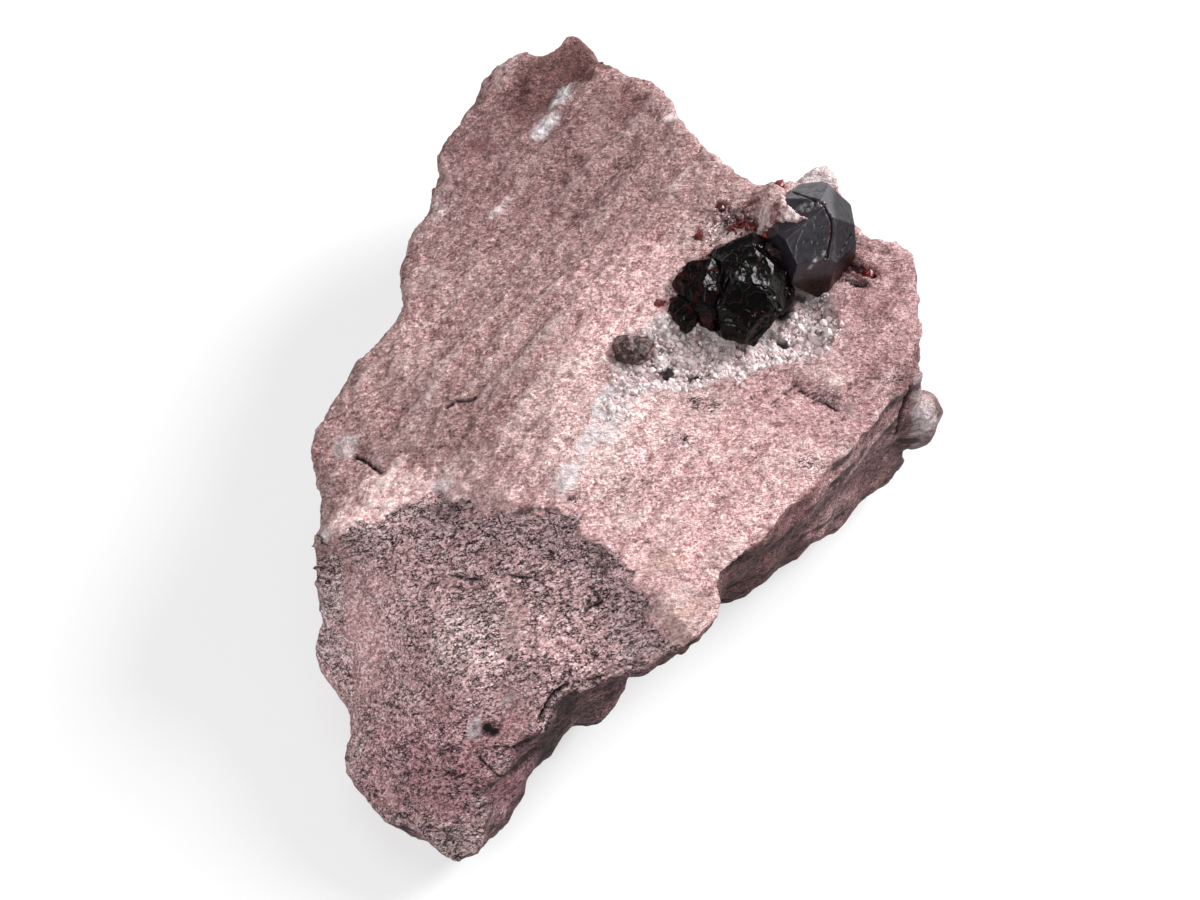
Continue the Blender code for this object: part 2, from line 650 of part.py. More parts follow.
def main():
    for old in list(bpy.data.objects):
        bpy.data.objects.remove(old)
    parts, cutters = collection(NAME), collection("cutters")

    rhyolite = material("rhyolite", (0.46, 0.29, 0.28), 0.92)
    dark_garnet = material("dark_garnet", (0.012, 0.009, 0.011), 0.22)
    brown_garnet = material("brown_garnet", (0.045, 0.018, 0.014), 0.35)
    red_garnet = material("red_garnet", (0.10, 0.008, 0.005), 0.25)
    quartz = material("quartz", (0.62, 0.52, 0.51), 0.35, 0.2)

    rock = make_rock(parts)
    garnets = garnet_cluster("garnet_crystals", 0.0, parts)
    little = small_garnet("small_garnet", 0.0, parts)
    grains = [grain(f"garnet_grain_{n + 1}", n, 0.0, parts) for n in range(len(GRAINS))]

    garnet_socket = garnet_cluster("garnet_socket", GAP, cutters)
    little_socket = small_garnet("small_garnet_socket", GAP, cutters)
    crust_bed = crust_slab("crust_bed", GAP, CRUST_CLEARANCE, cutters)
    grain_sockets = [grain(f"grain_socket_{n + 1}", n, GAP, cutters) for n in range(len(GRAINS))]
    for cutter in cutters.objects:
        cutter.hide_render = True
        cutter.display_type = "WIRE"

    crust = make_crust(parts, [garnet_socket, little_socket])
    for cutter in (garnet_socket, little_socket, crust_bed, *grain_sockets):
        boolean(rock, cutter, "DIFFERENCE")
    keep_largest_piece(rock)

    finishes = [(rock, rhyolite), (garnets, dark_garnet), (little, brown_garnet), (crust, quartz)]
    finishes += [(piece, red_garnet) for piece in grains]
    for piece, finish in finishes:
        piece.data.materials.clear()
        piece.data.materials.append(finish)
    stand_on_origin([rock, garnets, little, crust, *grains])


main()
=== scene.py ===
"""Looks of the garnet in matrix: a broken piece of pink rhyolite with dark garnets and a quartz crust.

Lengths are in millimetres and are turned into metres with MM where objects are made. Places are either
in the specimen's own millimetres or, where they are named as pixels, points of the 1200 x 900 frame that
are carried along the camera's line of sight onto the rock.
"""

import math
import random

import bmesh
import bpy
import numpy as np
from mathutils import Matrix, Vector, noise
from mathutils.bvhtree import BVHTree


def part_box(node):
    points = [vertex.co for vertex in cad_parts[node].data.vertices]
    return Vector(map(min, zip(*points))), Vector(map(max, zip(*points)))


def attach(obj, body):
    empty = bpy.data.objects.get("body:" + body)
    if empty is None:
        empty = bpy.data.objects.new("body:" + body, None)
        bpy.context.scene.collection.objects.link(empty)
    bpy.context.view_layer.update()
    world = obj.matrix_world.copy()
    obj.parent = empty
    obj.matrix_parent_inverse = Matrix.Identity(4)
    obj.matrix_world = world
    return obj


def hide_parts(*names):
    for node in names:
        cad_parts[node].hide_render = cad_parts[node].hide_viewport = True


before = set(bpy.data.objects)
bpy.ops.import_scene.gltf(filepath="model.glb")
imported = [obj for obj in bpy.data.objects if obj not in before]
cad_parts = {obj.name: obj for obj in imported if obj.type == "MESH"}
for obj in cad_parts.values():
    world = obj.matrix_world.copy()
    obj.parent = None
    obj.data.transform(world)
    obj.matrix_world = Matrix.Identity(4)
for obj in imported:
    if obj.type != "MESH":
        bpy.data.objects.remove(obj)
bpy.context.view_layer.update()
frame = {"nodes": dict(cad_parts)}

MM = 0.001
SEED = 7

# ---------------------------------------------------------------- camera and light

FRAME_WIDTH, FRAME_HEIGHT = 1200, 900
CAMERA_ELEVATION = 65.0
CAMERA_DISTANCE = 333.0
CAMERA_TARGET = (-2.84, -1.25, 12.4)
CAMERA_LENS, CAMERA_SENSOR = 100.0, 36.0

# Softboxes: the way towards the light, distance, size across and power in watts.
SOFTBOXES = {
    "key": ((0.72, 0.42, 0.50), 800.0, 440.0, 10.8),
    "overhead": ((-0.05, 0.25, 1.0), 700.0, 420.0, 0.8),
    "fill": ((-0.45, -0.50, 0.75), 800.0, 500.0, 2.6),
}
WORLD_LIGHT = (0.19, 0.19, 0.195)
WORLD_SEEN = (0.86, 0.86, 0.86)
FLOOR_COLOUR = (0.40, 0.40, 0.40)
FLOOR_GLOW = 0.58

# ---------------------------------------------------------------- the rock

SKIN_VOXEL = 0.55
SKIN_SMOOTHING = 4
CRYSTAL_SWELL = 0.36  # closes the narrow clearance round the CAD crystals in the rock's skin
CRYSTAL_SINK = 2.2  # how far the skin is drawn down inside the crystals
FINE_WAY = (0.0, -0.42, 0.91)  # the finer part of the skin looks this way, by more than the next number
FINE_FACING = 0.25

# Where the rough lower area begins, as pixels.
LEDGE_PIXELS = (
    (318, 548), (335, 545), (360, 520), (410, 500), (440, 495), (470, 503), (500, 510), (545, 508),
    (570, 530), (600, 545), (622, 566), (645, 600), (660, 625), (672, 645),
)
# The smooth face at the left of the lower area.
LEFT_FACE_PIXELS = (
    (314, 556), (335, 540), (368, 555), (384, 590), (388, 640), (380, 690), (356, 702), (312, 664),
)
# The fold between the bright main face and the darker far-left face.
FOLD_PIXELS = ((770, 186), (700, 212), (640, 240), (575, 288), (578, 330), (588, 388), (500, 452), (350, 498))
# Rock that grew over the upper left of the large garnet, and the low place behind its crust.
COVER_PIXELS = (
    (738, 238), (742, 216), (752, 203), (765, 196), (780, 193), (786, 203), (792, 210), (800, 214),
    (807, 219), (797, 222), (785, 222), (772, 226), (762, 234), (750, 241),
)
COVER_DEPTH = 0.40
# Painted light that brightens the rock over the garnet, which faces away from the lamp.
COVER_PAINTED_LIGHT = (1.15, 1.02, 1.02, 1.0)
COVER_STAIN = (0.15, 0.020, 0.018, 0.9)
COVER_SINK = 0.5  # how deep the cover's body lies inside the garnet elsewhere
# The broken step of the ledge: how far it drops, over what width, and how far the hollow below it runs.
STEP_DROP, STEP_WIDTH, STEP_RUN = 0.7, 0.6, 5.0
# Places that are rough and flecked like the lower area: middle, half sizes, turn and strength.
ROUGH_PATCHES = (
    ((706, 405), 1.8, 0.9, 0.0, 0.7),
    ((830, 398), 2.4, 1.0, -20.0, 0.4),
    ((893, 378), 1.4, 0.8, 30.0, 0.7),
    ((722, 226), 3.0, 1.5, 30.0, 0.8),
    ((852, 275), 2.2, 1.0, -20.0, 1.0),
    ((560, 62), 3.0, 1.5, 30.0, 0.4),
    ((575, 500), 0.5, 0.4, 0.0, 1.0),
    ((680, 440), 1.0, 2.0, 70.0, 0.5),
    ((810, 465), 1.6, 0.8, 0.0, 0.5),
)
# How parts of the rock are brightened or darkened, partly painted light and shade where the rock should look more
# or less lit and partly its own colour: middle, half sizes, turn and factors.
LIGHT_AND_COLOUR_PATCHES = (
    ((590, 400), 10.0, 8.0, 60.0, (1.38, 1.44, 1.44)),
    ((735, 480), 11.0, 9.0, 40.0, (1.22, 1.16, 1.18)),
    ((625, 285), 8.0, 6.0, 60.0, (1.22, 1.16, 1.18)),
    ((345, 440), 7.0, 5.0, 50.0, (1.12, 1.12, 1.12)),
    ((885, 320), 7.0, 11.0, 0.0, (0.84, 0.74, 0.77)),
    ((800, 405), 9.0, 4.0, -15.0, (0.86, 0.76, 0.79)),
    ((505, 150), 11.0, 12.0, 50.0, (0.80, 0.74, 0.75)),
    ((465, 330), 8.0, 7.0, 50.0, (1.18, 1.20, 1.20)),
    ((340, 630), 5.0, 8.0, 90.0, (1.20, 1.24, 1.26)),
    ((490, 640), 22.0, 15.0, 0.0, (1.36, 1.25, 1.28)),
    ((440, 770), 11.0, 6.5, 0.0, (1.00, 0.90, 0.93)),
    ((925, 410), 4.0, 4.5, 0.0, (0.66, 0.62, 0.62)),
    ((548, 82), 8.0, 3.2, 54.0, (0.47, 0.37, 0.37)),
    ((586, 62), 3.4, 3.2, 60.0, (0.62, 0.52, 0.50)),
    ((618, 100), 4.5, 2.4, -30.0, (0.72, 0.64, 0.64)),
    ((440, 205), 2.5, 2.5, 0.0, (1.25, 1.45, 1.45)),
    ((382, 496), 7.0, 3.0, 28.0, (1.75, 1.84, 1.84)),
    ((326, 505), 5.0, 1.6, 88.0, (0.86, 0.88, 0.88)),
    ((440, 775), 5.0, 3.0, -20.0, (0.82, 0.74, 0.75)),
    ((470, 640), 5.0, 4.0, 0.0, (1.15, 1.25, 1.22)),
)
# Fine cracks: the points of each, its half width and depth in mm.
CRACKS = (
    (((447, 408), (458, 402), (476, 398)), 0.16, 0.5),
    (((356, 457), (364, 460), (374, 468), (381, 472)), 0.20, 0.6),
    (((800, 391), (808, 396), (815, 399)), 0.10, 0.3),
    (((818, 402), (826, 404), (836, 411)), 0.13, 0.4),
    (((772, 404), (780, 397), (789, 390), (797, 384)), 0.08, 0.2),
    (((752, 398), (760, 392), (768, 389)), 0.07, 0.2),
    (((848, 386), (858, 381), (868, 377), (880, 378)), 0.08, 0.2),
    (((826, 424), (836, 423), (842, 420)), 0.07, 0.2),
    (((838, 264), (850, 270), (862, 271), (874, 276)), 0.22, 0.6),
    (((846, 280), (856, 286), (868, 284)), 0.16, 0.4),
    (((545, 730), (541, 716), (548, 702), (556, 692), (567, 684)), 0.20, 0.9),
    (((572, 682), (590, 680), (603, 676)), 0.10, 0.3),
    (((616, 668), (630, 664), (644, 658)), 0.09, 0.3),
    (((475, 744), (477, 752), (481, 760), (490, 768), (498, 776)), 0.14, 0.5),
    (((482, 748), (500, 747), (516, 747), (526, 743), (536, 736)), 0.12, 0.4),
    (((449, 772), (456, 775), (464, 776)), 0.10, 0.3),
    (((433, 447), (437, 448), (441, 448)), 0.12, 0.3),
    (((462, 438), (465, 436), (468, 434)), 0.10, 0.3),
    (((633, 541), (641, 543), (650, 542)), 0.09, 0.3),
    (((592, 588), (598, 598), (601, 604), (592, 606), (586, 610)), 0.15, 0.4),
    (((560, 604), (568, 606), (578, 610)), 0.12, 0.3),
    (((451, 576), (460, 577), (472, 580), (484, 578)), 0.13, 0.3),
    (((506, 575), (520, 577), (532, 578), (544, 584)), 0.13, 0.3),
    (((426, 588), (430, 584), (438, 582)), 0.13, 0.3),
    (((912, 388), (905, 402), (901, 416), (896, 432)), 0.28, 0.6),
)
# Milky quartz on the rock: middle as a pixel, half length and half width in mm, turn in degrees, strength.
QUARTZ_PATCHES = (
    ((562, 98), 2.1, 1.0, 62.0, 1.0),
    ((546, 126), 2.1, 0.9, 52.0, 1.0),
    ((500, 208), 1.6, 0.4, 50.0, 0.6),
    ((346, 448), 1.5, 1.1, 60.0, 0.6),
    ((604, 404), 2.6, 1.1, 70.0, 1.0),
    ((588, 440), 3.0, 1.0, 70.0, 0.95),
    ((568, 476), 2.6, 1.1, 60.0, 0.9),
    ((474, 728), 1.1, 0.6, 60.0, 0.9),
    ((508, 700), 0.9, 0.5, 30.0, 0.6),
    ((442, 486), 1.6, 0.7, 10.0, 0.8),
    ((326, 536), 0.4, 0.5, 0.0, 1.0),
    ((672, 118), 0.8, 0.5, 40.0, 0.8),
    ((684, 594), 1.6, 0.7, 60.0, 0.35),
    ((924, 412), 1.8, 1.4, 60.0, 0.6),
    ((818, 176), 2.2, 1.2, 0.0, 0.7),
    ((610, 420), 2.2, 1.6, 60.0, 0.7),
)
# Stains, given in the same way with a colour at the end.
STAINS = (
    ((684, 612), 3.0, 1.8, 60.0, 0.45, (0.66, 0.43, 0.36)),
    ((668, 560), 2.2, 1.0, 20.0, 0.4, (0.52, 0.36, 0.24)),
    ((645, 648), 1.8, 1.4, 0.0, 0.5, (0.27, 0.185, 0.215)),
    # The next three are painted shadow along the ledge's step.
    ((446, 509), 1.3, 1.2, 0.0, 0.75, (0.07, 0.032, 0.036)),
    ((528, 510), 1.9, 0.4, 5.0, 0.85, (0.06, 0.025, 0.028)),
    ((607, 563), 1.9, 1.2, -45.0, 0.75, (0.07, 0.026, 0.028)),
    ((650, 603), 2.0, 1.0, 30.0, 0.35, (0.34, 0.23, 0.26)),
    ((492, 727), 1.0, 0.6, 0.0, 0.9, (0.06, 0.015, 0.010)),
    ((381, 351), 0.6, 0.35, 40.0, 0.9, (0.07, 0.02, 0.02)),
    ((387, 378), 0.45, 0.3, 40.0, 0.9, (0.07, 0.02, 0.02)),
    ((482, 147), 1.7, 1.3, 0.0, 0.9, (0.20, 0.080, 0.085)),
    ((560, 60), 3.4, 2.2, 50.0, 0.5, (0.24, 0.10, 0.09)),
    ((745, 227), 2.0, 0.7, 5.0, 0.9, (0.13, 0.012, 0.010)),
    ((748, 206), 1.4, 0.6, 10.0, 0.8, (0.16, 0.03, 0.03)),
    ((722, 212), 1.9, 0.8, 40.0, 0.6, (0.17, 0.045, 0.045)),
    ((700, 228), 1.9, 0.5, 40.0, 0.5, (0.17, 0.045, 0.045)),
    ((852, 272), 3.2, 1.3, -10.0, 0.95, (0.10, 0.018, 0.018)),
    ((868, 300), 2.6, 1.4, -10.0, 0.35, (0.30, 0.11, 0.11)),
    ((700, 260), 1.6, 0.4, 50.0, 0.8, (0.20, 0.02, 0.02)),
    ((668, 303), 0.9, 0.4, 40.0, 0.8, (0.16, 0.02, 0.02)),
    ((786, 206), 1.1, 0.5, 30.0, 0.6, (0.20, 0.02, 0.02)),
    ((706, 404), 1.2, 0.6, 0.0, 0.5, (0.20, 0.07, 0.06)),
    ((830, 395), 2.2, 0.7, -25.0, 0.25, (0.24, 0.09, 0.09)),
)

# Painted shade on the flanks alone, given in the same way.
FLANK_PAINTED_SHADE = (
    ((760, 565), 8.0, 4.5, 40.0, (0.42, 0.32, 0.33)),
    ((600, 700), 9.0, 4.0, 40.0, (0.46, 0.38, 0.40)),
    ((556, 716), 3.0, 1.6, 60.0, (0.45, 0.38, 0.38)),
    ((510, 800), 7.0, 4.0, 60.0, (0.60, 0.52, 0.55)),
    ((676, 645), 5.0, 4.0, 40.0, (0.60, 0.48, 0.50)),
)

# ---------------------------------------------------------------- the crystals

# The CAD garnets' highest corner in the measures that are used below, which ties them to the frame.
GARNETS_HIGH = (23.22, 21.95, 32.42)

# The large garnet's faces: the way each looks and its distance from the middle.
LARGE_GARNET = (18.3, 16.9, 27.2)
LARGE_GARNET_FACES = (
    (-0.18, 0.60, 0.77, 4.45), (-0.40, 0.02, 0.91, 4.40), (0.66, 0.28, 0.69, 4.10),
    (0.70, -0.40, 0.58, 4.15), (0.02, -0.52, 0.85, 4.35), (-0.90, 0.05, 0.42, 4.60),
    (0.15, -0.97, 0.12, 4.60), (-0.80, -0.58, 0.22, 4.60), (0.78, -0.62, 0.0, 4.20),
    (-0.05, 1.0, 0.05, 4.75), (1.0, 0.10, 0.05, 4.0), (-0.65, 0.65, 0.40, 4.60),
    (0.62, 0.76, 0.15, 4.45), (0.0, 0.0, -1.0, 4.5), (-0.6, -0.5, -0.6, 4.6), (0.6, 0.5, -0.6, 4.4),
)
# Cracks across it: the points as pixels, half width and depth in mm.
LARGE_GARNET_CRACKS = (
    (((821, 202), (827, 210), (831, 220), (832, 231), (830, 242), (827, 258)), 0.24, 0.75),
    (((793, 192), (801, 195), (810, 198), (818, 200), (824, 203)), 0.15, 0.45),
    (((795, 246), (794, 256), (795, 266), (794, 274)), 0.09, 0.20),
    (((838, 256), (842, 250), (846, 243), (851, 235)), 0.14, 0.45),
    (((845, 258), (850, 252), (855, 244)), 0.10, 0.30),
    (((785, 232), (793, 229), (803, 226), (812, 218)), 0.05, 0.08),
    (((806, 222), (800, 234), (795, 246)), 0.05, 0.10),
)
GLASSY_SLIVER_PIXELS = ((809, 269), (815, 261), (820, 256), (825, 252))

# Lobes of the black garnet: middle, half sizes, the seed of its broken faces and how brown it is.
BLACK_GARNET_LOBES = (
    ((11.4, 11.0, 26.5), (4.6, 6.2, 4.4), 3, 0.2),
    ((8.2, 11.0, 26.2), (3.6, 4.5, 3.4), 5, 1.0),
    ((5.6, 8.9, 26.0), (2.2, 2.0, 2.2), 17, 1.0),
    ((14.4, 11.0, 25.4), (2.3, 1.9, 2.1), 8, 0.3),
    ((14.2, 14.4, 26.0), (1.6, 2.7, 2.3), 12, 0.8),
)
SMALL_GARNET_LOBES = (
    ((0.0, 4.4, 26.9), (1.5, 1.3, 1.4), 21),
    ((1.6, 4.5, 26.9), (1.3, 1.0, 1.2), 22),
    ((0.9, 3.6, 26.7), (0.9, 0.8, 0.9), 23),
)
BROKEN_FACES = 26
BREAK_STEPS = 3.0
GOLDEN_TURN = 2.39996

CRUST_PIXELS = (
    (776, 280), (806, 284), (830, 296), (833, 330), (828, 350), (800, 362), (775, 366), (748, 372),
    (722, 378), (704, 386), (684, 392), (660, 388), (640, 396), (622, 398), (612, 380), (618, 356),
    (634, 340), (655, 320), (672, 312), (700, 320), (722, 330), (745, 335), (768, 330), (780, 312),
)
# The crust thins out here: middle as a pixel, reach in mm.
CRUST_THIN = (((618, 408), 1.8), ((740, 380), 0.8), ((836, 330), 1.2))
# Sizes of quartz crystals, largest first: how many are tried, and the range of radii.
QUARTZ_SIZES = ((90, 0.55, 0.8), (900, 0.30, 0.48), (12000, 0.13, 0.27))
QUARTZ_BIG = ((800, 330), 5.0)  # the largest grow round this pixel, within this reach in mm
QUARTZ_SPACING = 0.58
# Holes in the crust and between the garnets, sunk and painted in shadow: middle as a pixel, half length, half
# width, turn, depth.
HOLES = (
    ((667, 373), 1.1, 0.45, 60.0, 0.7),
    ((692, 376), 1.2, 0.45, -20.0, 0.7),
    ((781, 344), 1.3, 0.5, -30.0, 0.7),
    ((782, 308), 1.3, 1.1, 60.0, 0.7),
    ((773, 264), 1.8, 1.1, 60.0, 2.0),
    ((487, 728), 0.6, 0.45, 0.0, 0.3),
    ((494, 733), 0.5, 0.35, 30.0, 0.3),
    ((570, 499), 0.35, 0.3, 0.0, 0.3),
)

# Red chips along the garnets' edges: a trail of pixels, how many, how far they stray and the largest radius.
RED_TRAILS = (
    (((662, 308), (674, 292), (686, 280)), 20, 0.35, 0.26),
    (((692, 272), (702, 258), (713, 250)), 20, 0.30, 0.26),
    (((733, 227), (746, 226), (758, 226)), 40, 0.25, 0.42),
    (((705, 224), (715, 218), (728, 214)), 12, 0.40, 0.26),
    (((738, 208), (747, 207), (756, 206)), 12, 0.30, 0.30),
    (((760, 246), (767, 252), (770, 262)), 8, 0.25, 0.26),
    (((766, 290), (769, 302), (772, 314)), 10, 0.25, 0.26),
    (((846, 268), (858, 272), (868, 270)), 12, 0.40, 0.20),
)
# A grain whose bright colour paints light shining through the garnet: a pixel and a radius in mm.
PAINTED_GLOW_CHIP = ((766, 236), 0.36)


# ---------------------------------------------------------------- camera and pixels


def camera_ways():
    """Unit vectors forward, right and up of the camera, and its place in mm."""
    tilt = math.radians(CAMERA_ELEVATION)
    forward = Vector((0.0, math.cos(tilt), -math.sin(tilt)))
    up = Vector((0.0, math.sin(tilt), math.cos(tilt)))
    return forward, Vector((1.0, 0.0, 0.0)), up, Vector(CAMERA_TARGET) - forward * CAMERA_DISTANCE


def add_camera():
    forward, _, _, place = camera_ways()
    data = bpy.data.cameras.new("camera")
    data.lens, data.sensor_width = CAMERA_LENS, CAMERA_SENSOR
    data.clip_start, data.clip_end = 0.01, 20.0
    camera = bpy.data.objects.new("camera", data)
    bpy.context.scene.collection.objects.link(camera)
    camera.location = place * MM
    camera.rotation_euler = forward.to_track_quat("-Z", "Y").to_euler()
    bpy.context.scene.camera = camera


def on_surface(tree, pixel):
    """The point, in mm, where the line of sight through a pixel first meets the surface."""
    forward, right, up, place = camera_ways()
    focal = CAMERA_LENS / CAMERA_SENSOR * FRAME_WIDTH
    across = (pixel[0] - FRAME_WIDTH / 2) / focal
    down = (pixel[1] - FRAME_HEIGHT / 2) / focal
    hit = tree.ray_cast(place * MM, forward + right * across - up * down)[0]
    return hit / MM if hit else None


def first_seen(pixel, *trees):
    """Of several surfaces, the point of the one that is seen at a pixel."""
    eye = camera_ways()[3]
    hits = [hit for hit in (on_surface(tree, pixel) for tree in trees) if hit]
    return min(hits, key=lambda hit: (hit - eye).length)


def line_on_surface(tree, pixels):
    return [hit for hit in (on_surface(tree, pixel) for pixel in pixels) if hit]


# ---------------------------------------------------------------- meshes


def add_mesh(name, mesh, material, slot, *replaced):
    made = bpy.data.objects.new(name, mesh)
    bpy.context.scene.collection.objects.link(made)
    mesh.materials.clear()
    mesh.materials.append(material)
    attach(made, "root")
    if replaced:
        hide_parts(*replaced)
    return made


def applied(mesh, change):
    """The mesh after one modifier, which change() sets up on a passing object."""
    passing = bpy.data.objects.new("passing", mesh)
    bpy.context.scene.collection.objects.link(passing)
    change(passing.modifiers)
    seen = passing.evaluated_get(bpy.context.evaluated_depsgraph_get())
    made = bpy.data.meshes.new_from_object(seen)
    bpy.data.objects.remove(passing)
    return made


def remeshed(mesh, voxel):
    def change(modifiers):
        step = modifiers.new("remesh", "REMESH")
        step.mode = "VOXEL"
        step.voxel_size = voxel * MM

    return applied(mesh, change)


def smoothed(mesh, times):
    def change(modifiers):
        step = modifiers.new("smooth", "SMOOTH")
        step.iterations = times
        step.factor = 0.5

    return applied(mesh, change)


def points_of(mesh):
    flat = np.empty(len(mesh.vertices) * 3)
    mesh.vertices.foreach_get("co", flat)
    return flat.reshape(-1, 3) / MM


def normals_of(mesh):
    flat = np.empty(len(mesh.vertices) * 3)
    mesh.vertices.foreach_get("normal", flat)
    return flat.reshape(-1, 3)


def move_points(mesh, points):
    mesh.vertices.foreach_set("co", (points * MM).ravel())
    mesh.update()


def paint(mesh, name, values):
    """Keeps one number per vertex, from 0 to 1, for the material to read."""
    layer = mesh.attributes.new(name, "FLOAT", "POINT")
    layer.data.foreach_set("value", np.clip(values, 0.0, 1.0).astype(np.float32))


def shade_smooth(mesh):
    mesh.polygons.foreach_set("use_smooth", [True] * len(mesh.polygons))
    mesh.update()


def welded(*meshes):
    """A bmesh of closed copies of some meshes, whose split corners are joined."""
    joined = bmesh.new()
    for mesh in meshes:
        joined.from_mesh(mesh)
    bmesh.ops.remove_doubles(joined, verts=joined.verts, dist=0.001 * MM)
    bmesh.ops.recalc_face_normals(joined, faces=joined.faces)
    return joined


def to_mesh(bm, name):
    mesh = bpy.data.meshes.new(name)
    bm.to_mesh(mesh)
    bm.free()
    return mesh


# ---------------------------------------------------------------- numbers


def smoothstep(t):
    t = np.clip(t, 0.0, 1.0)
    return t * t * (3.0 - 2.0 * t)


def fractal(points, size, octaves, seed):
    """Fractal noise of about -1 to 1, with features of this size in mm."""
    shift = Vector((seed * 17.3, seed * 5.1, seed * 9.7))
    return np.array([noise.fractal(Vector(p) / size + shift, 1.0, 2.0, octaves) for p in points])


def cells(points, size, seed):
    """Distance to the nearest of scattered seeds, 0 to about 1."""
    shift = Vector((seed * 3.7, seed * 11.9, seed * 7.1))
    return np.array([noise.voronoi(Vector(p) / size + shift)[0][0] for p in points])


def distance_to_line(points, line):
    """Distance from each point to a line through some corners, in mm."""
    best = np.full(len(points), np.inf)
    for start, end in zip(line, line[1:]):
        start, run = np.array(start), np.array(end - start)
        along = np.clip((points - start) @ run / (run @ run), 0.0, 1.0)
        best = np.minimum(best, np.linalg.norm(points - start - along[:, None] * run, axis=1))
    return best


def inside_outline(points, outline):
    """Whether each point lies inside an outline, seen in plan."""
    inside = np.zeros(len(points), bool)
    x, y = points[:, 0], points[:, 1]
    for a, b in zip(outline, outline[1:] + outline[:1]):
        if a[1] != b[1]:
            crosses = (a[1] > y) != (b[1] > y)
            inside ^= crosses & (x < (b[0] - a[0]) * (y - a[1]) / (b[1] - a[1]) + a[0])
    return inside


def soft_inside(points, outline, fade):
    """1 well inside an outline on the rock and 0 well outside, blended over fade mm."""
    edge = distance_to_line(points, outline + outline[:1])
    side = np.where(inside_outline(points, outline), 1.0, -1.0)
    return smoothstep(0.5 + 0.5 * side * edge / fade)


# ---------------------------------------------------------------- materials


class Graph:
    """The node tree of one material, with short calls for the nodes that are used here."""

    def __init__(self, name, roughness, ior=1.5):
        self.material = bpy.data.materials.new(name)
        self.material.use_nodes = True
        self.nodes = self.material.node_tree.nodes
        self.shader = self.nodes["Principled BSDF"]
        self.shader.inputs["Roughness"].default_value = roughness
        self.shader.inputs["IOR"].default_value = ior
        self.place = self.nodes.new("ShaderNodeTexCoord").outputs["Object"]

    def give(self, socket, value):
        if isinstance(value, bpy.types.NodeSocket):
            self.material.node_tree.links.new(value, socket)
        elif value is not None:
            socket.default_value = value

    def noise(self, size, detail=3.0, rough=0.55, place=None, warp=0.0):
        node = self.nodes.new("ShaderNodeTexNoise")
        self.give(node.inputs["Vector"], place or self.place)
        node.inputs["Scale"].default_value = 1.0 / (size * MM)
        node.inputs["Detail"].default_value = detail
        node.inputs["Roughness"].default_value = rough
        node.inputs["Distortion"].default_value = warp
        return node.outputs["Fac"]

    def cells(self, size, feature="F1", output="Distance", place=None):
        node = self.nodes.new("ShaderNodeTexVoronoi")
        node.feature = feature
        self.give(node.inputs["Vector"], place or self.place)
        node.inputs["Scale"].default_value = 1.0 / (size * MM)
        return node.outputs[output]

    def creases(self, size, place):
        """0 along crooked lines and up to about 0.3 between them: turned over, it makes sharp flakes."""
        middle = self.sum(self.noise(size, 3.0, 0.6, place), 0.5, "SUBTRACT")
        return self.sum(middle, None, "ABSOLUTE")

    def lines(self, size, turn, along, width):
        """1 along short crooked lines and 0 elsewhere."""
        place = self.stretched(turn, along)
        near = self.ramp(self.creases(size, place), (0.5 * width, 1.0), (1.6 * width, 0.0))
        kept = self.ramp(self.noise(1.1 * size, 2.0, 0.5, place), (0.46, 0.0), (0.52, 1.0))
        return self.sum(near, kept, "MULTIPLY")

    def stretched(self, turn, along, upward=1.0):
        """Places for a pattern that is drawn out this many times along a direction in plan."""
        node = self.nodes.new("ShaderNodeMapping")
        node.vector_type = "TEXTURE"
        self.give(node.inputs["Vector"], self.place)
        node.inputs["Rotation"].default_value = (0.0, 0.0, math.radians(turn))
        node.inputs["Scale"].default_value = (along, 1.0, upward)
        return node.outputs["Vector"]

    def ramp(self, value, *stops):
        """Colours or greys at given places between 0 and 1."""
        node = self.nodes.new("ShaderNodeValToRGB")
        elements = node.color_ramp.elements
        while len(elements) < len(stops):
            elements.new(0.5)
        for element, (place, colour) in zip(elements, stops):
            element.position = place
            element.color = (*(colour if isinstance(colour, tuple) else (colour,) * 3), 1.0)
        self.give(node.inputs["Fac"], value)
        return node.outputs["Color"]

    def mix(self, factor, first, second, blend="MIX"):
        node = self.nodes.new("ShaderNodeMix")
        node.data_type, node.blend_type = "RGBA", blend
        for name, value in (("Factor_Float", factor), ("A_Color", first), ("B_Color", second)):
            socket = next(s for s in node.inputs if s.identifier == name)
            self.give(socket, (*value, 1.0) if isinstance(value, tuple) else value)
        return next(s for s in node.outputs if s.identifier == "Result_Color")

    def sum(self, first, second, operation="ADD"):
        node = self.nodes.new("ShaderNodeMath")
        node.operation = operation
        self.give(node.inputs[0], first)
        self.give(node.inputs[1], second)
        return node.outputs[0]

    def painted(self, name, output="Fac"):
        node = self.nodes.new("ShaderNodeAttribute")
        node.attribute_name = name
        return node.outputs[output]

    def bump(self, height, depth, below=None):
        """Raises the surface's shading by a height from 0 to 1 times a depth in mm."""
        node = self.nodes.new("ShaderNodeBump")
        node.inputs["Strength"].default_value = 1.0
        node.inputs["Distance"].default_value = depth * MM
        self.give(node.inputs["Height"], height)
        if below:
            self.give(node.inputs["Normal"], below)
        return node.outputs["Normal"]

    def finish(self, colour=None, roughness=None, normal=None):
        self.give(self.shader.inputs["Base Color"], (*colour, 1.0) if isinstance(colour, tuple) else colour)
        if roughness:
            self.give(self.shader.inputs["Roughness"], roughness)
        if normal:
            self.give(self.shader.inputs["Normal"], normal)
        return self.material


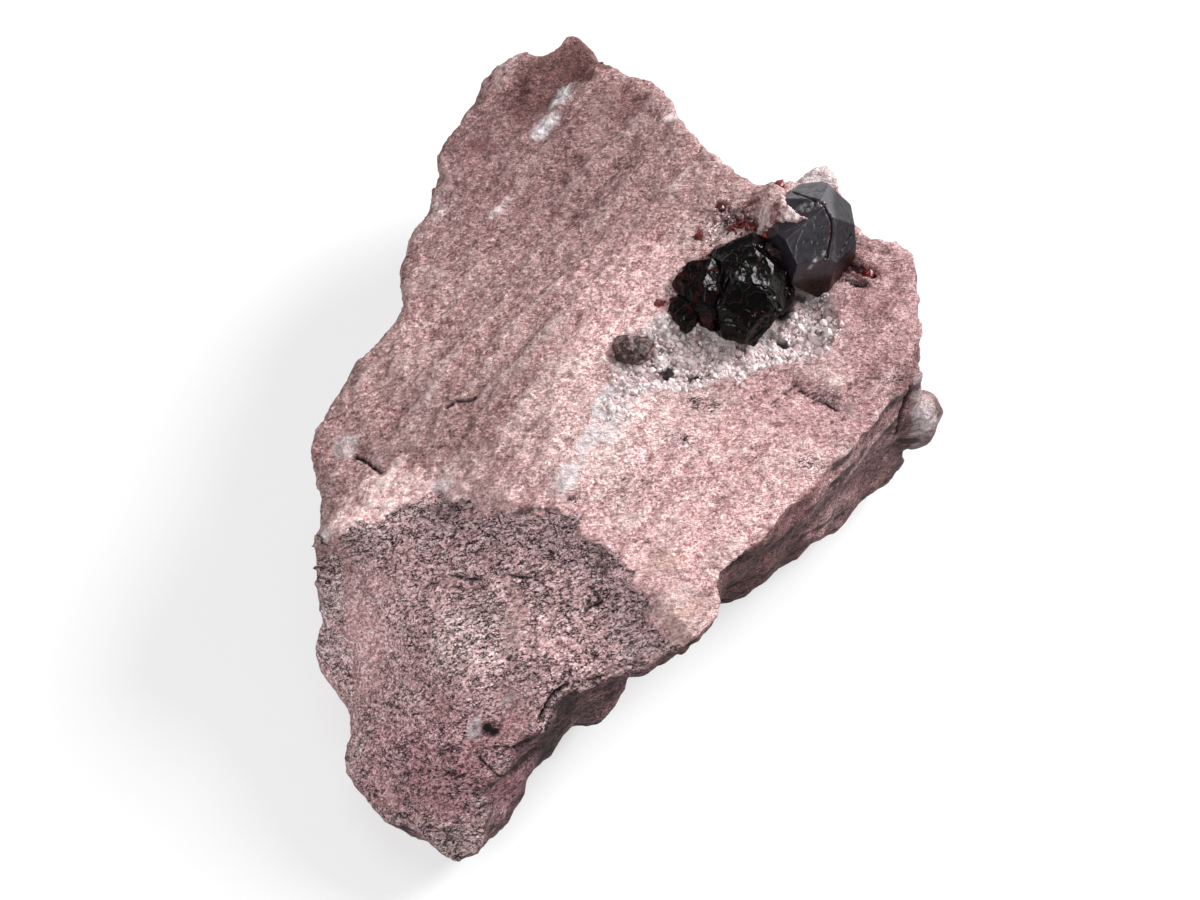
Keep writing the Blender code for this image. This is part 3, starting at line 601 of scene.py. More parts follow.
def rhyolite():
    """Pink rhyolite: sugary flaky grains, maroon flow bands that also serve as painted shade on turned-away faces,
    fine crevice lines in painted shade, milky quartz and stains, with painted light, shade and highlights from the
    vertices.
    """
    g = Graph("rhyolite", 0.88)
    weave = g.stretched(16.0, 2.1)
    grains = g.noise(0.27, 3.0, 0.75, weave)
    crumbs = g.cells(0.20, output="Color")
    flakes = g.creases(0.90, weave)
    small_flakes = g.creases(0.42, g.stretched(30.0, 1.6))
    bands = g.noise(1.3, 4.0, 0.6, g.stretched(56.0, 7.0))
    patches = g.noise(4.5, 3.0, 0.6)
    roughness = g.painted("rough")

    speckle = g.sum(g.sum(grains, 0.75, "MULTIPLY"), g.sum(crumbs, 0.25, "MULTIPLY"))
    sugar = g.ramp(
        speckle, (0.30, (0.22, 0.085, 0.085)), (0.41, (0.47, 0.265, 0.26)), (0.50, (0.66, 0.435, 0.425)),
        (0.58, (0.82, 0.61, 0.585)), (0.68, (1.0, 0.90, 0.86)),
    )
    maroon = g.ramp(
        speckle, (0.28, (0.10, 0.030, 0.030)), (0.41, (0.25, 0.112, 0.110)), (0.52, (0.40, 0.225, 0.218)),
        (0.66, (0.70, 0.48, 0.46)),
    )
    pale = g.ramp(
        speckle, (0.30, (0.24, 0.135, 0.135)), (0.42, (0.55, 0.39, 0.39)), (0.54, (0.72, 0.545, 0.54)),
        (0.66, (1.0, 0.92, 0.90)),
    )
    spread = g.ramp(bands, (0.40, 0.0), (0.62, 0.75))
    # The painted maroon is partly the rock's banding and partly painted shade on the far-left face and flanks.
    colour = g.mix(g.sum(spread, g.painted("maroon")), sugar, maroon)
    colour = g.mix(g.sum(roughness, 0.75, "MULTIPLY"), colour, pale)
    colour = g.mix(g.ramp(patches, (0.42, 0.0), (0.72, 0.22)), colour, (0.66, 0.47, 0.45))

    # More dark lines and specks in the rough area and where the flanks have painted shade.
    broken_up = g.sum(roughness, g.sum(g.painted("painted_shade"), 0.6, "MULTIPLY"))
    crevices = g.sum(g.lines(0.65, 8.0, 2.2, 0.022), g.lines(0.38, 28.0, 1.7, 0.026), "MAXIMUM")
    lines = g.sum(crevices, g.ramp(broken_up, (0.0, 0.18), (0.5, 1.0)), "MULTIPLY")
    level = g.sum(g.noise(0.23, 3.0, 0.65, g.stretched(5.0, 1.5)), g.sum(broken_up, 0.085, "MULTIPLY"), "SUBTRACT")
    specks = g.ramp(level, (0.315, 1.0), (0.335, 0.0))
    # Near-black for fine crevice lines, as painted shade in them, and for dark specks in the stone.
    dark = g.sum(lines, specks, "MAXIMUM")
    colour = g.mix(dark, colour, (0.020, 0.006, 0.007))
    # Painted highlight where the relief stands up.
    colour = g.mix(g.painted("raised_highlight"), colour, (0.90, 0.74, 0.70))
    # Factors from the vertices: painted light and shade, and the rock's own colour changes.
    colour = g.mix(1.0, colour, g.painted("light_and_colour", "Color"), "MULTIPLY")
    milky = g.ramp(g.noise(0.6, 4.0, 0.7), (0.32, (0.50, 0.42, 0.44)), (0.58, (0.92, 0.84, 0.85)))
    broken = g.ramp(g.noise(0.9, 4.0, 0.7), (0.36, 0.25), (0.50, 1.0))
    colour = g.mix(g.sum(g.painted("milky"), broken, "MULTIPLY"), colour, milky)
    stained = g.ramp(g.noise(0.7, 4.0, 0.7), (0.40, 0.2), (0.55, 1.0))
    colour = g.mix(g.sum(g.painted("stain", "Alpha"), stained, "MULTIPLY"), colour, g.painted("stain", "Color"))
    # Painted shade darkens downward faces and the near flank.
    colour = g.mix(g.painted("painted_shade"), colour, (0.42, 0.32, 0.33), "MULTIPLY")
    colour = g.mix(g.painted("shadow"), colour, (0.016, 0.005, 0.006))

    height = g.sum(g.sum(grains, 0.6, "MULTIPLY"), g.sum(flakes, 2.4, "MULTIPLY"), "SUBTRACT")
    height = g.sum(height, g.sum(small_flakes, 1.4, "MULTIPLY"), "SUBTRACT")
    first = g.bump(height, 0.38)
    return g.finish(colour, None, g.bump(g.sum(dark, -1.0, "MULTIPLY"), 0.10, first))


def dark_garnet():
    """Satin charcoal faces with faint growth ripples, brown low down and a pale glassy sliver; the faces turned
    towards the lamp on the right are darkened as painted shade and given weaker reflection.
    """
    g = Graph("garnet-satin", 0.34, 1.75)
    # Weaker reflection on the right-hand faces and the underside.
    g.give(g.shader.inputs["Specular IOR Level"], g.ramp(g.painted("painted_shade_and_matte"), (0.0, 0.40), (1.0, 0.10)))
    cloud = g.noise(2.2, 4.0, 0.6)
    colour = g.ramp(cloud, (0.35, (0.013, 0.010, 0.015)), (0.65, (0.028, 0.022, 0.031)))
    # Painted shade: the right-hand faces and the underside darkened, before the underside is made brown.
    colour = g.mix(g.sum(g.painted("painted_shade_and_matte"), 0.8, "MULTIPLY"), colour, (0.009, 0.007, 0.009))
    colour = g.mix(g.painted("brown"), colour, (0.022, 0.0065, 0.0055))
    colour = g.mix(g.painted("pale"), colour, (0.50, 0.46, 0.46))
    ripples = g.noise(0.30, 3.0, 0.6, g.stretched(60.0, 3.0))
    worn = g.ramp(g.noise(0.8, 4.0, 0.7), (0.35, 0.26), (0.7, 0.46))
    return g.finish(colour, worn, g.bump(ripples, 0.010))


def black_garnet():
    """Black glassy garnet with shell-shaped breaks, tinged red and brown where it is thin."""
    g = Graph("garnet-glassy", 0.10, 1.6)
    g.shader.inputs["Specular IOR Level"].default_value = 0.13
    thin = g.ramp(g.noise(1.1, 4.0, 0.65), (0.50, 0.0), (0.66, 1.0))
    thin = g.sum(thin, g.painted("tint"), "MULTIPLY")
    colour = g.mix(thin, (0.0014, 0.0010, 0.0011), (0.034, 0.006, 0.004))
    gloss = g.ramp(g.noise(0.8, 4.0, 0.7), (0.40, 0.07), (0.62, 0.30))
    return g.finish(colour, gloss, g.bump(g.noise(0.25, 3.0, 0.6), 0.018))


def brown_garnet():
    """Dark brown garnet with paler, dusty ridges."""
    g = Graph("garnet-brown", 0.28, 1.6)
    colour = g.ramp(
        g.noise(0.45, 4.0, 0.7), (0.38, (0.008, 0.005, 0.005)), (0.52, (0.055, 0.028, 0.026)),
        (0.66, (0.30, 0.20, 0.19)),
    )
    return g.finish(colour, None, g.bump(g.noise(0.25, 3.0, 0.6), 0.04))


def red_garnet(name="garnet-red", deep=(0.030, 0.002, 0.002), bright=(0.20, 0.010, 0.006)):
    """Deep red, glassy garnet grains."""
    g = Graph(name, 0.32, 1.6)
    shade = g.sum(g.sum(g.noise(0.4, 3.0, 0.6), 0.6, "MULTIPLY"), g.sum(g.painted("tint"), 0.4, "MULTIPLY"))
    colour = g.ramp(shade, (0.35, deep), (0.7, bright))
    return g.finish(colour, None, g.bump(g.noise(0.2, 3.0, 0.6), 0.02))


def quartz():
    """Cloudy grey-white quartz: each crystal has its own tint, with veils inside."""
    g = Graph("quartz", 0.34, 1.54)
    tint = g.ramp(
        g.painted("tint"), (0.0, (0.40, 0.26, 0.26)), (0.3, (0.80, 0.63, 0.63)), (1.0, (1.0, 0.90, 0.90)),
    )
    veils = g.ramp(g.noise(0.5, 4.0, 0.65), (0.32, 0.80), (0.52, 1.0))
    colour = g.mix(1.0, tint, veils, "MULTIPLY")
    g.shader.inputs["Transmission Weight"].default_value = 0.15
    return g.finish(colour, None, g.bump(g.noise(0.22, 3.0, 0.6), 0.02))


# ---------------------------------------------------------------- the rock


def swollen(mesh, by):
    """A closed copy of a mesh whose points stand out further along their normals."""
    bm = welded(mesh)
    bm.normal_update()
    for vert in bm.verts:
        vert.co += vert.normal * by * MM
    return to_mesh(bm, "swollen")


def rock_skin():
    """One skin over the whole specimen, drawn down inside the crystals, so that no gap shows at them."""
    nodes = frame["nodes"]
    matrix = nodes["matrix"].data
    crystals = [node.data for name, node in nodes.items() if name != "matrix"]
    whole = bmesh.new()
    whole.from_mesh(to_mesh(welded(matrix), "closed"))
    for crystal in crystals:
        whole.from_mesh(swollen(crystal, CRYSTAL_SWELL))
    skin = remeshed(to_mesh(whole, "whole"), SKIN_VOXEL)
    skin = smoothed(skin, SKIN_SMOOTHING)

    stone = BVHTree.FromBMesh(welded(matrix))
    points, ways = points_of(skin), normals_of(skin)
    apart = np.array([stone.find_nearest(Vector(p) * MM)[3] for p in points]) / MM
    sink = smoothstep((apart - 0.25) / 0.8) * CRYSTAL_SINK
    move_points(skin, points - ways * sink[:, None])
    return skin


def halve_seen_faces(mesh):
    bm = bmesh.new()
    bm.from_mesh(mesh)
    seen = Vector(FINE_WAY)
    chosen = {edge for face in bm.faces if face.normal.dot(seen) > FINE_FACING for edge in face.edges}
    bmesh.ops.subdivide_edges(bm, edges=list(chosen), cuts=1, use_grid_fill=True)
    bmesh.ops.triangulate(bm, faces=bm.faces)
    return to_mesh(bm, "rock")


def turned_plan(points, turn, along, across, upward):
    """Coordinates in which streaks that run at this angle in plan are features about 1 across."""
    turn = math.radians(turn)
    u = points[:, 0] * math.cos(turn) + points[:, 1] * math.sin(turn)
    v = points[:, 1] * math.cos(turn) - points[:, 0] * math.sin(turn)
    return np.column_stack((u / along, v / across, points[:, 2] / upward))


def patch(points, middle, long, wide, turn, uneven):
    """1 in the middle of an uneven oval patch and 0 outside it."""
    c, s = math.cos(math.radians(turn)), math.sin(math.radians(turn))
    off = points - np.array(middle)
    along, across = off[:, 0] * c + off[:, 1] * s, off[:, 1] * c - off[:, 0] * s
    spread = np.hypot(along / long, across / wide) + 0.45 * uneven
    return 1.0 - smoothstep((spread - 0.55) / 0.6)


def tree_of(mesh):
    return BVHTree.FromPolygons([v.co for v in mesh.vertices], [p.vertices for p in mesh.polygons])


def highest(tree, x, y):
    """Height in mm of the topmost point of a surface over a plan point, or None beside it."""
    hit = tree.ray_cast(Vector((x, y, 60.0)) * MM, Vector((0.0, 0.0, -1.0)))[0]
    return hit.z / MM if hit else None


def ridged(points, seed):
    """Sharp ridges of about 1 between rounded hollows of about -1."""
    return 1.0 - 2.6 * np.abs(fractal(points, 1.0, 3, seed))


def below_ledge(points, bare):
    """How far each point lies on the near side of the ledge, in mm, with the ledge's own jags."""
    ledge_x, ledge_y = np.array([(p[0], p[1]) for p in line_on_surface(bare, LEDGE_PIXELS)]).T
    below = np.interp(points[:, 0], ledge_x, ledge_y) - points[:, 1]
    return below + 1.7 * fractal(points, 2.5, 4, 5) + 1.0 * fractal(points, 0.9, 3, 15)


def spots(points, bare, patches, uneven):
    """For each listed patch, the rest of its row and how strongly each point belongs to it."""
    for pixel, long, wide, turn, *rest in patches:
        yield rest, patch(points, on_surface(bare, pixel), long, wide, turn, uneven)


def relief(points, ways, bare, rough, below):
    """The rock's fine relief in mm, and the painted shadow in its cracks and hollows."""
    top = smoothstep((ways[:, 2] - 0.30) / 0.35)
    left_face = soft_inside(points, line_on_surface(bare, LEFT_FACE_PIXELS), 1.2)
    calm = 1.0 - 0.75 * left_face
    lumps, knobs, grit = fractal(points, 3.6, 4, 2), fractal(points, 1.4, 3, 4), fractal(points, 0.6, 2, 6)
    streaks = fractal(turned_plan(points, 48.0, 8.0, 1.9, 3.0), 1.0, 3, 3)
    weave = ridged(turned_plan(points, 20.0, 2.2, 0.9, 1.0), 9)
    layers = fractal(turned_plan(points, 45.0, 3.4, 3.4, 1.3), 1.0, 4, 12)
    near = smoothstep((ways[:, 0] - ways[:, 1] - 0.2) / 0.4)
    pits = cells(points, 1.1, 8)

    height = 0.10 * lumps + 0.06 * (knobs + grit) * calm
    height += top * (1.0 - rough) * (0.32 * streaks + 0.18 * weave)
    height += top * rough * calm * (0.08 * knobs + 0.08 * (pits - 0.5) + 0.09 * grit + 0.08 * weave)
    height += (1.0 - top) * (0.22 * lumps + 0.06 * knobs + 0.20 * np.minimum(layers + 0.2, 0.1))
    step = smoothstep(below / STEP_WIDTH) * (1.0 - smoothstep((below - STEP_WIDTH) / STEP_RUN))
    reach = smoothstep((10.0 - points[:, 0]) / 5.0) * smoothstep((points[:, 0] + 31.0) / 4.0)
    shadow = smoothstep((-height - 0.12) / 0.35) * (0.35 + 0.30 * rough)
    shadow = np.maximum(shadow, (1.0 - top) * near * smoothstep((-layers - 0.26) / 0.15) * 0.8)
    height -= STEP_DROP * step * reach * (0.6 + 0.6 * lumps)
    for pixels, width, depth in CRACKS:
        line = line_on_surface(bare, pixels)
        if len(line) > 1:
            crack = 1.0 - smoothstep((distance_to_line(points, line) + 0.07 * knobs) / (1.5 * width))
            crack = crack * smoothstep((grit + 0.75) / 0.3)
            height -= depth * crack
            shadow = np.maximum(shadow, np.minimum(1.6 * crack, 1.0))
    return height, shadow, top, calm, left_face, step * reach, lumps, knobs


def make_rock():
    skin = rock_skin()
    mesh = halve_seen_faces(skin)
    bare = tree_of(skin)
    points, ways = points_of(mesh), normals_of(mesh)
    below = below_ledge(points, bare)
    rough = smoothstep(below / 0.4 + 0.5) * smoothstep((14.0 - points[:, 0]) / 3.0)
    height, shadow, top, calm, left_face, step, lumps, knobs = relief(points, ways, bare, rough, below)
    fold = line_on_surface(bare, FOLD_PIXELS)
    far_corners = [Vector((-60.0, -12.0, 0.0)), Vector((-60.0, 80.0, 0.0)), Vector((25.0, 80.0, 0.0))]
    far_left = soft_inside(points * (1.0, 1.0, 0.0), [Vector((p.x, p.y, 0.0)) for p in fold] + far_corners, 3.5)
    # Painted highlight on the raised relief of the top faces.
    raised_highlight = smoothstep((height - 0.10) / 0.35) * (0.35 - 0.20 * rough) * top
    for (depth,), amount in spots(points, bare, HOLES, 0.3 * knobs):
        height -= depth * amount
        shadow = np.maximum(shadow, amount)
    crust = soft_inside(points, line_on_surface(bare, CRUST_PIXELS), 0.6) * (points[:, 2] > 18.0)
    nuggets = cells(points, 1.1, 14)
    height += crust * (0.55 * (0.55 - nuggets) + 0.10 * knobs)
    # Painted shadow in the crevices between the crust's lumps.
    shadow = np.maximum(shadow, 0.75 * crust * smoothstep((nuggets - 0.60) / 0.2))
    flat = smoothstep(points[:, 2] / 0.8)
    move_points(mesh, points + ways * (height * flat)[:, None])

    milky = np.zeros(len(points))
    for (strength,), amount in spots(points, bare, QUARTZ_PATCHES, knobs):
        milky = np.maximum(milky, strength * amount)
    milky = np.maximum(milky, 0.8 * crust)
    # Dark flecks of the rough area, denser just below the ledge partly as painted shade there.
    flecked = rough * calm * np.clip(0.55 + 0.75 * step + 0.5 * lumps, 0.15, 1.0)
    for (strength,), amount in spots(points, bare, ROUGH_PATCHES, knobs):
        flecked = np.maximum(flecked, strength * amount)
    stain, light_and_colour = np.zeros((len(points), 4)), np.ones((len(points), 4))
    for (strength, colour), amount in spots(points, bare, STAINS, knobs):
        stain[:, :3] = np.where((strength * amount)[:, None] > stain[:, 3:], colour, stain[:, :3])
        stain[:, 3] = np.maximum(stain[:, 3], strength * amount)
    # Painted light and shade, with some of the rock's own colour changes, as factors; the flanks' rows count only
    # off the top.
    for light_and_colour_rows, where in ((LIGHT_AND_COLOUR_PATCHES, np.ones(len(points))), (FLANK_PAINTED_SHADE, 1.0 - top)):
        for (factors,), amount in spots(points, bare, light_and_colour_rows, 0.5 * lumps):
            light_and_colour[:, :3] *= 1.0 + (amount * where)[:, None] * (np.array(factors) - 1.0)
    for name, values in (("stain", stain), ("light_and_colour", light_and_colour)):
        layer = mesh.attributes.new(name, "FLOAT_COLOR", "POINT")
        layer.data.foreach_set("color", values.astype(np.float32).ravel())

    # Masks for painted shade: faces that turn downward, and the near flank.
    under = smoothstep((0.15 - ways[:, 2]) / 0.5)
    near_flank = smoothstep((0.35 - ways[:, 2]) / 0.4) * smoothstep((ways[:, 0] - ways[:, 1]) / 0.6)
    paint(mesh, "rough", flecked)
    # Maroon on the far-left face and the flanks: partly the rock's banding, partly painted shade on faces turned
    # from the light.
    paint(mesh, "maroon", 0.60 * far_left * top + 0.10 * rough * top + 0.60 * (1.0 - top))
    paint(mesh, "milky", milky)
    paint(mesh, "raised_highlight", raised_highlight)
    paint(mesh, "painted_shade", 0.3 * under + 0.64 * near_flank)
    paint(mesh, "shadow", shadow)
    shade_smooth(mesh)
    print("rock triangles", len(mesh.polygons))
    stone = rhyolite()
    add_mesh("rock", mesh, stone, "rhyolite", "matrix")
    return tree_of(mesh), bare, stone


# ---------------------------------------------------------------- the crystals


def own_place(point):
    """A point given in the specimen's own measures, in mm of the frame."""
    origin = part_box("garnet_crystals")[1] / MM - Vector(GARNETS_HIGH)
    return Vector(point) + origin


def ball(level):
    """Directions and triangles of an evenly divided ball."""
    bm = bmesh.new()
    bmesh.ops.create_icosphere(bm, subdivisions=level, radius=1.0)
    ways = np.array([vert.co[:] for vert in bm.verts])
    faces = [[vert.index for vert in face.verts] for face in bm.faces]
    bm.free()
    return ways, faces


def reach_of(ways, planes, softness):
    """How far the surface of a body cut by planes lies from its middle, along each way."""
    planes = np.array(planes, float)
    along = ways @ (planes[:, :3] / np.linalg.norm(planes[:, :3], axis=1)[:, None]).T
    reach = np.where(along > 0.05, planes[:, 3] / np.maximum(along, 0.05), np.inf)
    nearest = reach.min(axis=1)
    crowd = np.exp((nearest[:, None] - reach) / softness).sum(axis=1)
    return nearest - softness * np.log(crowd)


def broken_planes(halves, seed, count=BROKEN_FACES, reach=(0.80, 1.0)):
    """Faces in scattered directions round a lump with these half sizes."""
    chance = random.Random(seed)
    planes = []
    for step in range(count):
        up = 1.0 - 2.0 * (step + 0.5) / count
        around = step * GOLDEN_TURN + chance.uniform(-0.35, 0.35)
        side = math.sqrt(1.0 - up * up)
        way = (side * math.cos(around), side * math.sin(around), up)
        full = math.sqrt(sum((w * h) ** 2 for w, h in zip(way, halves)))
        planes.append((*way, full * chance.uniform(*reach)))
    return planes


class Bodies:
    """Closed bodies gathered into one mesh, with one number per vertex for the material."""

    def __init__(self):
        self.points, self.faces, self.tints, self.count = [], [], [], 0

    def add(self, points, faces, tint=0.5):
        self.faces += [[index + self.count for index in face] for face in faces]
        self.points.append(points)
        self.tints.append(np.full(len(points), tint))
        self.count += len(points)

    def mesh(self, name, smooth=True):
        made = bpy.data.meshes.new(name)
        made.from_pydata((np.vstack(self.points) * MM).tolist(), [], self.faces)
        paint(made, "tint", np.concatenate(self.tints))
        if smooth:
            shade_smooth(made)
        return made


def bowls(points, size, seed):
    """Shell-shaped hollows with sharp ridges between them, 0 on the ridges and -1 in the middles."""
    return np.minimum(cells(points, size, seed) ** 2 * 1.6, 1.0) - 1.0


def make_large_garnet():
    """The large garnet: flat satin faces, cracks, a brown underside and a pale sliver in a crack."""
    ways, faces = ball(7)
    middle = np.array(own_place(LARGE_GARNET))
    reach = reach_of(ways, LARGE_GARNET_FACES, 0.03)
    points = middle + ways * reach[:, None]
    smooth = Bodies()
    smooth.add(points, faces)
    tree = tree_of(smooth.mesh("smooth garnet"))
    uneven = fractal(points, 1.2, 4, 31)
    drop = 0.035 * uneven + 0.05 * bowls(points, 2.4, 33) * (uneven > 0.1)
    for pixels, width, depth in LARGE_GARNET_CRACKS:
        line = line_on_surface(tree, pixels)
        near = 1.0 - smoothstep((distance_to_line(points, line) + 0.05 * uneven) / width)
        drop -= depth * near
    sliver = 1.0 - smoothstep(distance_to_line(points, line_on_surface(tree, GLASSY_SLIVER_PIXELS)) / 0.32)
    crumbled = patch(points, on_surface(tree, (808, 207)), 1.5, 0.6, 10.0, uneven)
    grit = fractal(points, 0.5, 3, 35)
    drop += crumbled * (0.16 * grit - 0.10) + sliver * (0.12 * grit - 0.08)
    low = smoothstep((0.1 - ways[:, 2] * 1.0 - ways[:, 1] * 0.0) / 0.3) * smoothstep(-ways[:, 1] / 0.4)
    made = Bodies()
    made.add(points + ways * drop[:, None], faces)
    mesh = made.mesh("large-garnet")
    paint(mesh, "brown", low)
    # Right-hand faces and the underside get painted shade and weaker reflection.
    paint(mesh, "painted_shade_and_matte", np.maximum(smoothstep((ways[:, 0] - 0.30) / 0.2), low))
    paint(mesh, "pale", 0.9 * sliver * smoothstep(0.5 + grit) + 0.25 * crumbled * smoothstep(0.5 + 2.0 * grit))
    add_mesh("large-garnet", mesh, dark_garnet(), "dark_garnet", "garnet_crystals")
    return tree_of(mesh)


def cover_large_garnet(garnet, bare, stone):
    """The rock that grew over the upper left of the large garnet: a thin uneven layer on its faces."""
    ways, faces = ball(7)
    middle = np.array(own_place(LARGE_GARNET))
    reach = reach_of(ways, LARGE_GARNET_FACES, 0.03)
    points = middle + ways * reach[:, None]
    outline = [on_surface(garnet, pixel) or on_surface(bare, pixel) for pixel in COVER_PIXELS]
    knobs, grit = fractal(points, 1.4, 3, 4), fractal(points, 0.5, 3, 6)
    edge = distance_to_line(points * (1.0, 1.0, 0.0), [Vector((p.x, p.y, 0.0)) for p in outline + outline[:1]])
    inside = np.where(inside_outline(points, outline) & (ways[:, 2] > -0.2), edge, -edge) + 0.25 * grit
    cover = smoothstep(inside / 0.35 + 0.5)
    lift = cover * (COVER_DEPTH * (1.0 + 0.9 * knobs) + 0.16 * grit + COVER_SINK) - COVER_SINK
    body = Bodies()
    body.add(points + ways * lift[:, None], faces)
    mesh = body.mesh("rock-on-garnet")
    # Painted highlight on raised grit and painted shadow in its low places.
    paint(mesh, "raised_highlight", 0.25 + 0.6 * grit)
    paint(mesh, "milky", 0.30 + 0.5 * knobs)
    paint(mesh, "shadow", 0.35 * smoothstep((-grit - 0.35) / 0.3))
    stain = np.tile(COVER_STAIN, (len(points), 1)) * smoothstep((-knobs - 0.02) / 0.2)[:, None]
    # Painted light brightens the cover; the stain is its own colour.
    for name, colours in (("light_and_colour", np.tile(COVER_PAINTED_LIGHT, (len(points), 1))), ("stain", stain)):
        layer = mesh.attributes.new(name, "FLOAT_COLOR", "POINT")
        layer.data.foreach_set("color", colours.astype(np.float32).ravel())
    add_mesh("rock-on-garnet", mesh, stone, "rhyolite")


def broken_body(bodies, place, halves, seed, level, grain, tint=0.5):
    """Adds a broken, glassy lump, with shell-shaped breaks of about this size."""
    ways, faces = ball(level)
    reach = reach_of(ways, broken_planes(halves, seed), 0.03)
    points = np.array(place) + ways * reach[:, None]
    steps = np.floor(BREAK_STEPS * fractal(points, 1.4 * grain, 3, seed + 3)) / BREAK_STEPS
    drop = grain * (0.05 * bowls(points, grain, seed) + 0.03 * bowls(points, 0.5 * grain, seed + 1))
    drop += grain * (0.012 * bowls(points, 0.22 * grain, seed + 2) + 0.22 * np.minimum(steps, 0.0))
    bodies.add(points + ways * drop[:, None], faces, tint)


def make_black_garnet():
    bodies = Bodies()
    for middle, halves, seed, brown in BLACK_GARNET_LOBES:
        level = 7 if halves[0] > 3.0 else 5
        broken_body(bodies, own_place(middle), halves, seed, level, 2.2, brown)
    mesh = bodies.mesh("black-garnet")
    add_mesh("black-garnet", mesh, black_garnet(), "dark_garnet", "garnet_crystals")
    return tree_of(mesh)


def hull(bodies, place, corners, spin, tint=0.5):
    """Adds the smallest body with flat faces that holds some corners, turned and put in its place."""
    bm = bmesh.new()
    for corner in corners:
        bm.verts.new(corner)
    made = bmesh.ops.convex_hull(bm, input=bm.verts[:], use_existing_faces=False)
    inner = [item for item in made["geom_interior"] if isinstance(item, bmesh.types.BMVert)]
    bmesh.ops.delete(bm, geom=inner, context="VERTS")
    bm.verts.index_update()
    points = np.array([vert.co[:] for vert in bm.verts]) @ spin.T + np.array(place)
    bodies.add(points, [[vert.index for vert in face.verts] for face in bm.faces], tint)
    bm.free()


def leaning(chance, spread):
    """A turn that leans away from upright by some chance and faces any way round."""
    lean = Vector((chance.gauss(0.0, spread), chance.gauss(0.0, spread), 1.0)).to_track_quat("Z", "X")
    return np.array((lean.to_matrix() @ Matrix.Rotation(chance.uniform(0.0, 6.28), 3, "Z")))


def shard_corners(chance, halves, count=13):
    corners = []
    for _ in range(count):
        way = Vector([chance.gauss(0.0, 1.0) for _ in range(3)]).normalized()
        corners.append([w * h for w, h in zip(way, halves)])
    return corners


def make_small_garnets(rock, red):
    bodies = Bodies()
    for middle, halves, seed in SMALL_GARNET_LOBES:
        chance = random.Random(seed)
        middle, halves = own_place(middle), Vector(halves)
        hull(bodies, middle, shard_corners(chance, halves * 1.1, 18), leaning(chance, 0.2), chance.random())
        for _ in range(7):
            place = middle + Vector([0.65 * half * chance.uniform(-1.0, 1.0) for half in halves])
            hull(bodies, place, shard_corners(chance, halves * 0.5, 12), leaning(chance, 0.8), chance.random())
    mesh = bodies.mesh("small-garnet", smooth=False)
    add_mesh("small-garnet", mesh, brown_garnet(), "brown_garnet", "small_garnet")
    for name in sorted(frame["nodes"]):
        if name.startswith("garnet_grain"):
            low, high = (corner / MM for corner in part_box(name))
            chance, grain = random.Random(name), Bodies()
            for _ in range(4):
                place = (low + high) / 2.0 + Vector([chance.gauss(0.0, 0.16) for _ in range(3)])
                corners = shard_corners(chance, (high - low) * 0.36)
                hull(grain, place, corners, leaning(chance, 0.6), chance.random())
            shown = name.replace("_", "-")
            add_mesh(shown, grain.mesh(shown, smooth=False), red, "red_garnet", name)


def make_red_chips(rock, large, black, red):
    chance = random.Random(SEED)
    chips = Bodies()
    for pixels, count, stray, largest in RED_TRAILS:
        trail = line_on_surface(rock, pixels)
        for _ in range(count):
            start = chance.randrange(len(trail) - 1)
            x, y, _ = trail[start].lerp(trail[start + 1], chance.random())
            x, y = x + chance.gauss(0.0, stray), y + chance.gauss(0.0, stray)
            radius = largest * chance.uniform(0.4, 1.0)
            halves = [radius * chance.uniform(*span) for span in ((0.7, 1.5), (0.5, 1.0), (0.25, 0.5))]
            place = (x, y, highest(rock, x, y))
            hull(chips, place, shard_corners(chance, halves, 9), leaning(chance, 0.8), chance.random())
    add_mesh("red-chips", chips.mesh("red-chips", smooth=False), red, "red_garnet")
    # Its bright colour paints light shining through the grain.
    orange = red_garnet("garnet-painted-glow", (0.25, 0.02, 0.004), (0.85, 0.14, 0.02))
    chip = Bodies()
    pixel, radius = PAINTED_GLOW_CHIP
    place = first_seen(pixel, rock, large, black)
    hull(chip, place, shard_corners(chance, (radius,) * 3), leaning(chance, 0.5))
    add_mesh("chip-painted-glow", chip.mesh("chip-painted-glow", smooth=False), orange, "red_garnet")


def crystal_corners(chance, radius):
    """Corners of a stubby six-sided quartz crystal with an uneven point."""
    length = radius * chance.uniform(0.8, 1.5)
    corners = [(chance.uniform(-0.2, 0.2) * radius, chance.uniform(-0.2, 0.2) * radius, length)]
    for side in range(6):
        angle = math.radians(60.0 * side + chance.uniform(-8.0, 8.0))
        reach = radius * chance.uniform(0.75, 1.0)
        x, y = reach * math.cos(angle), reach * math.sin(angle)
        corners += [(x, y, -length), (x, y, length * chance.uniform(0.1, 0.5))]
    return corners


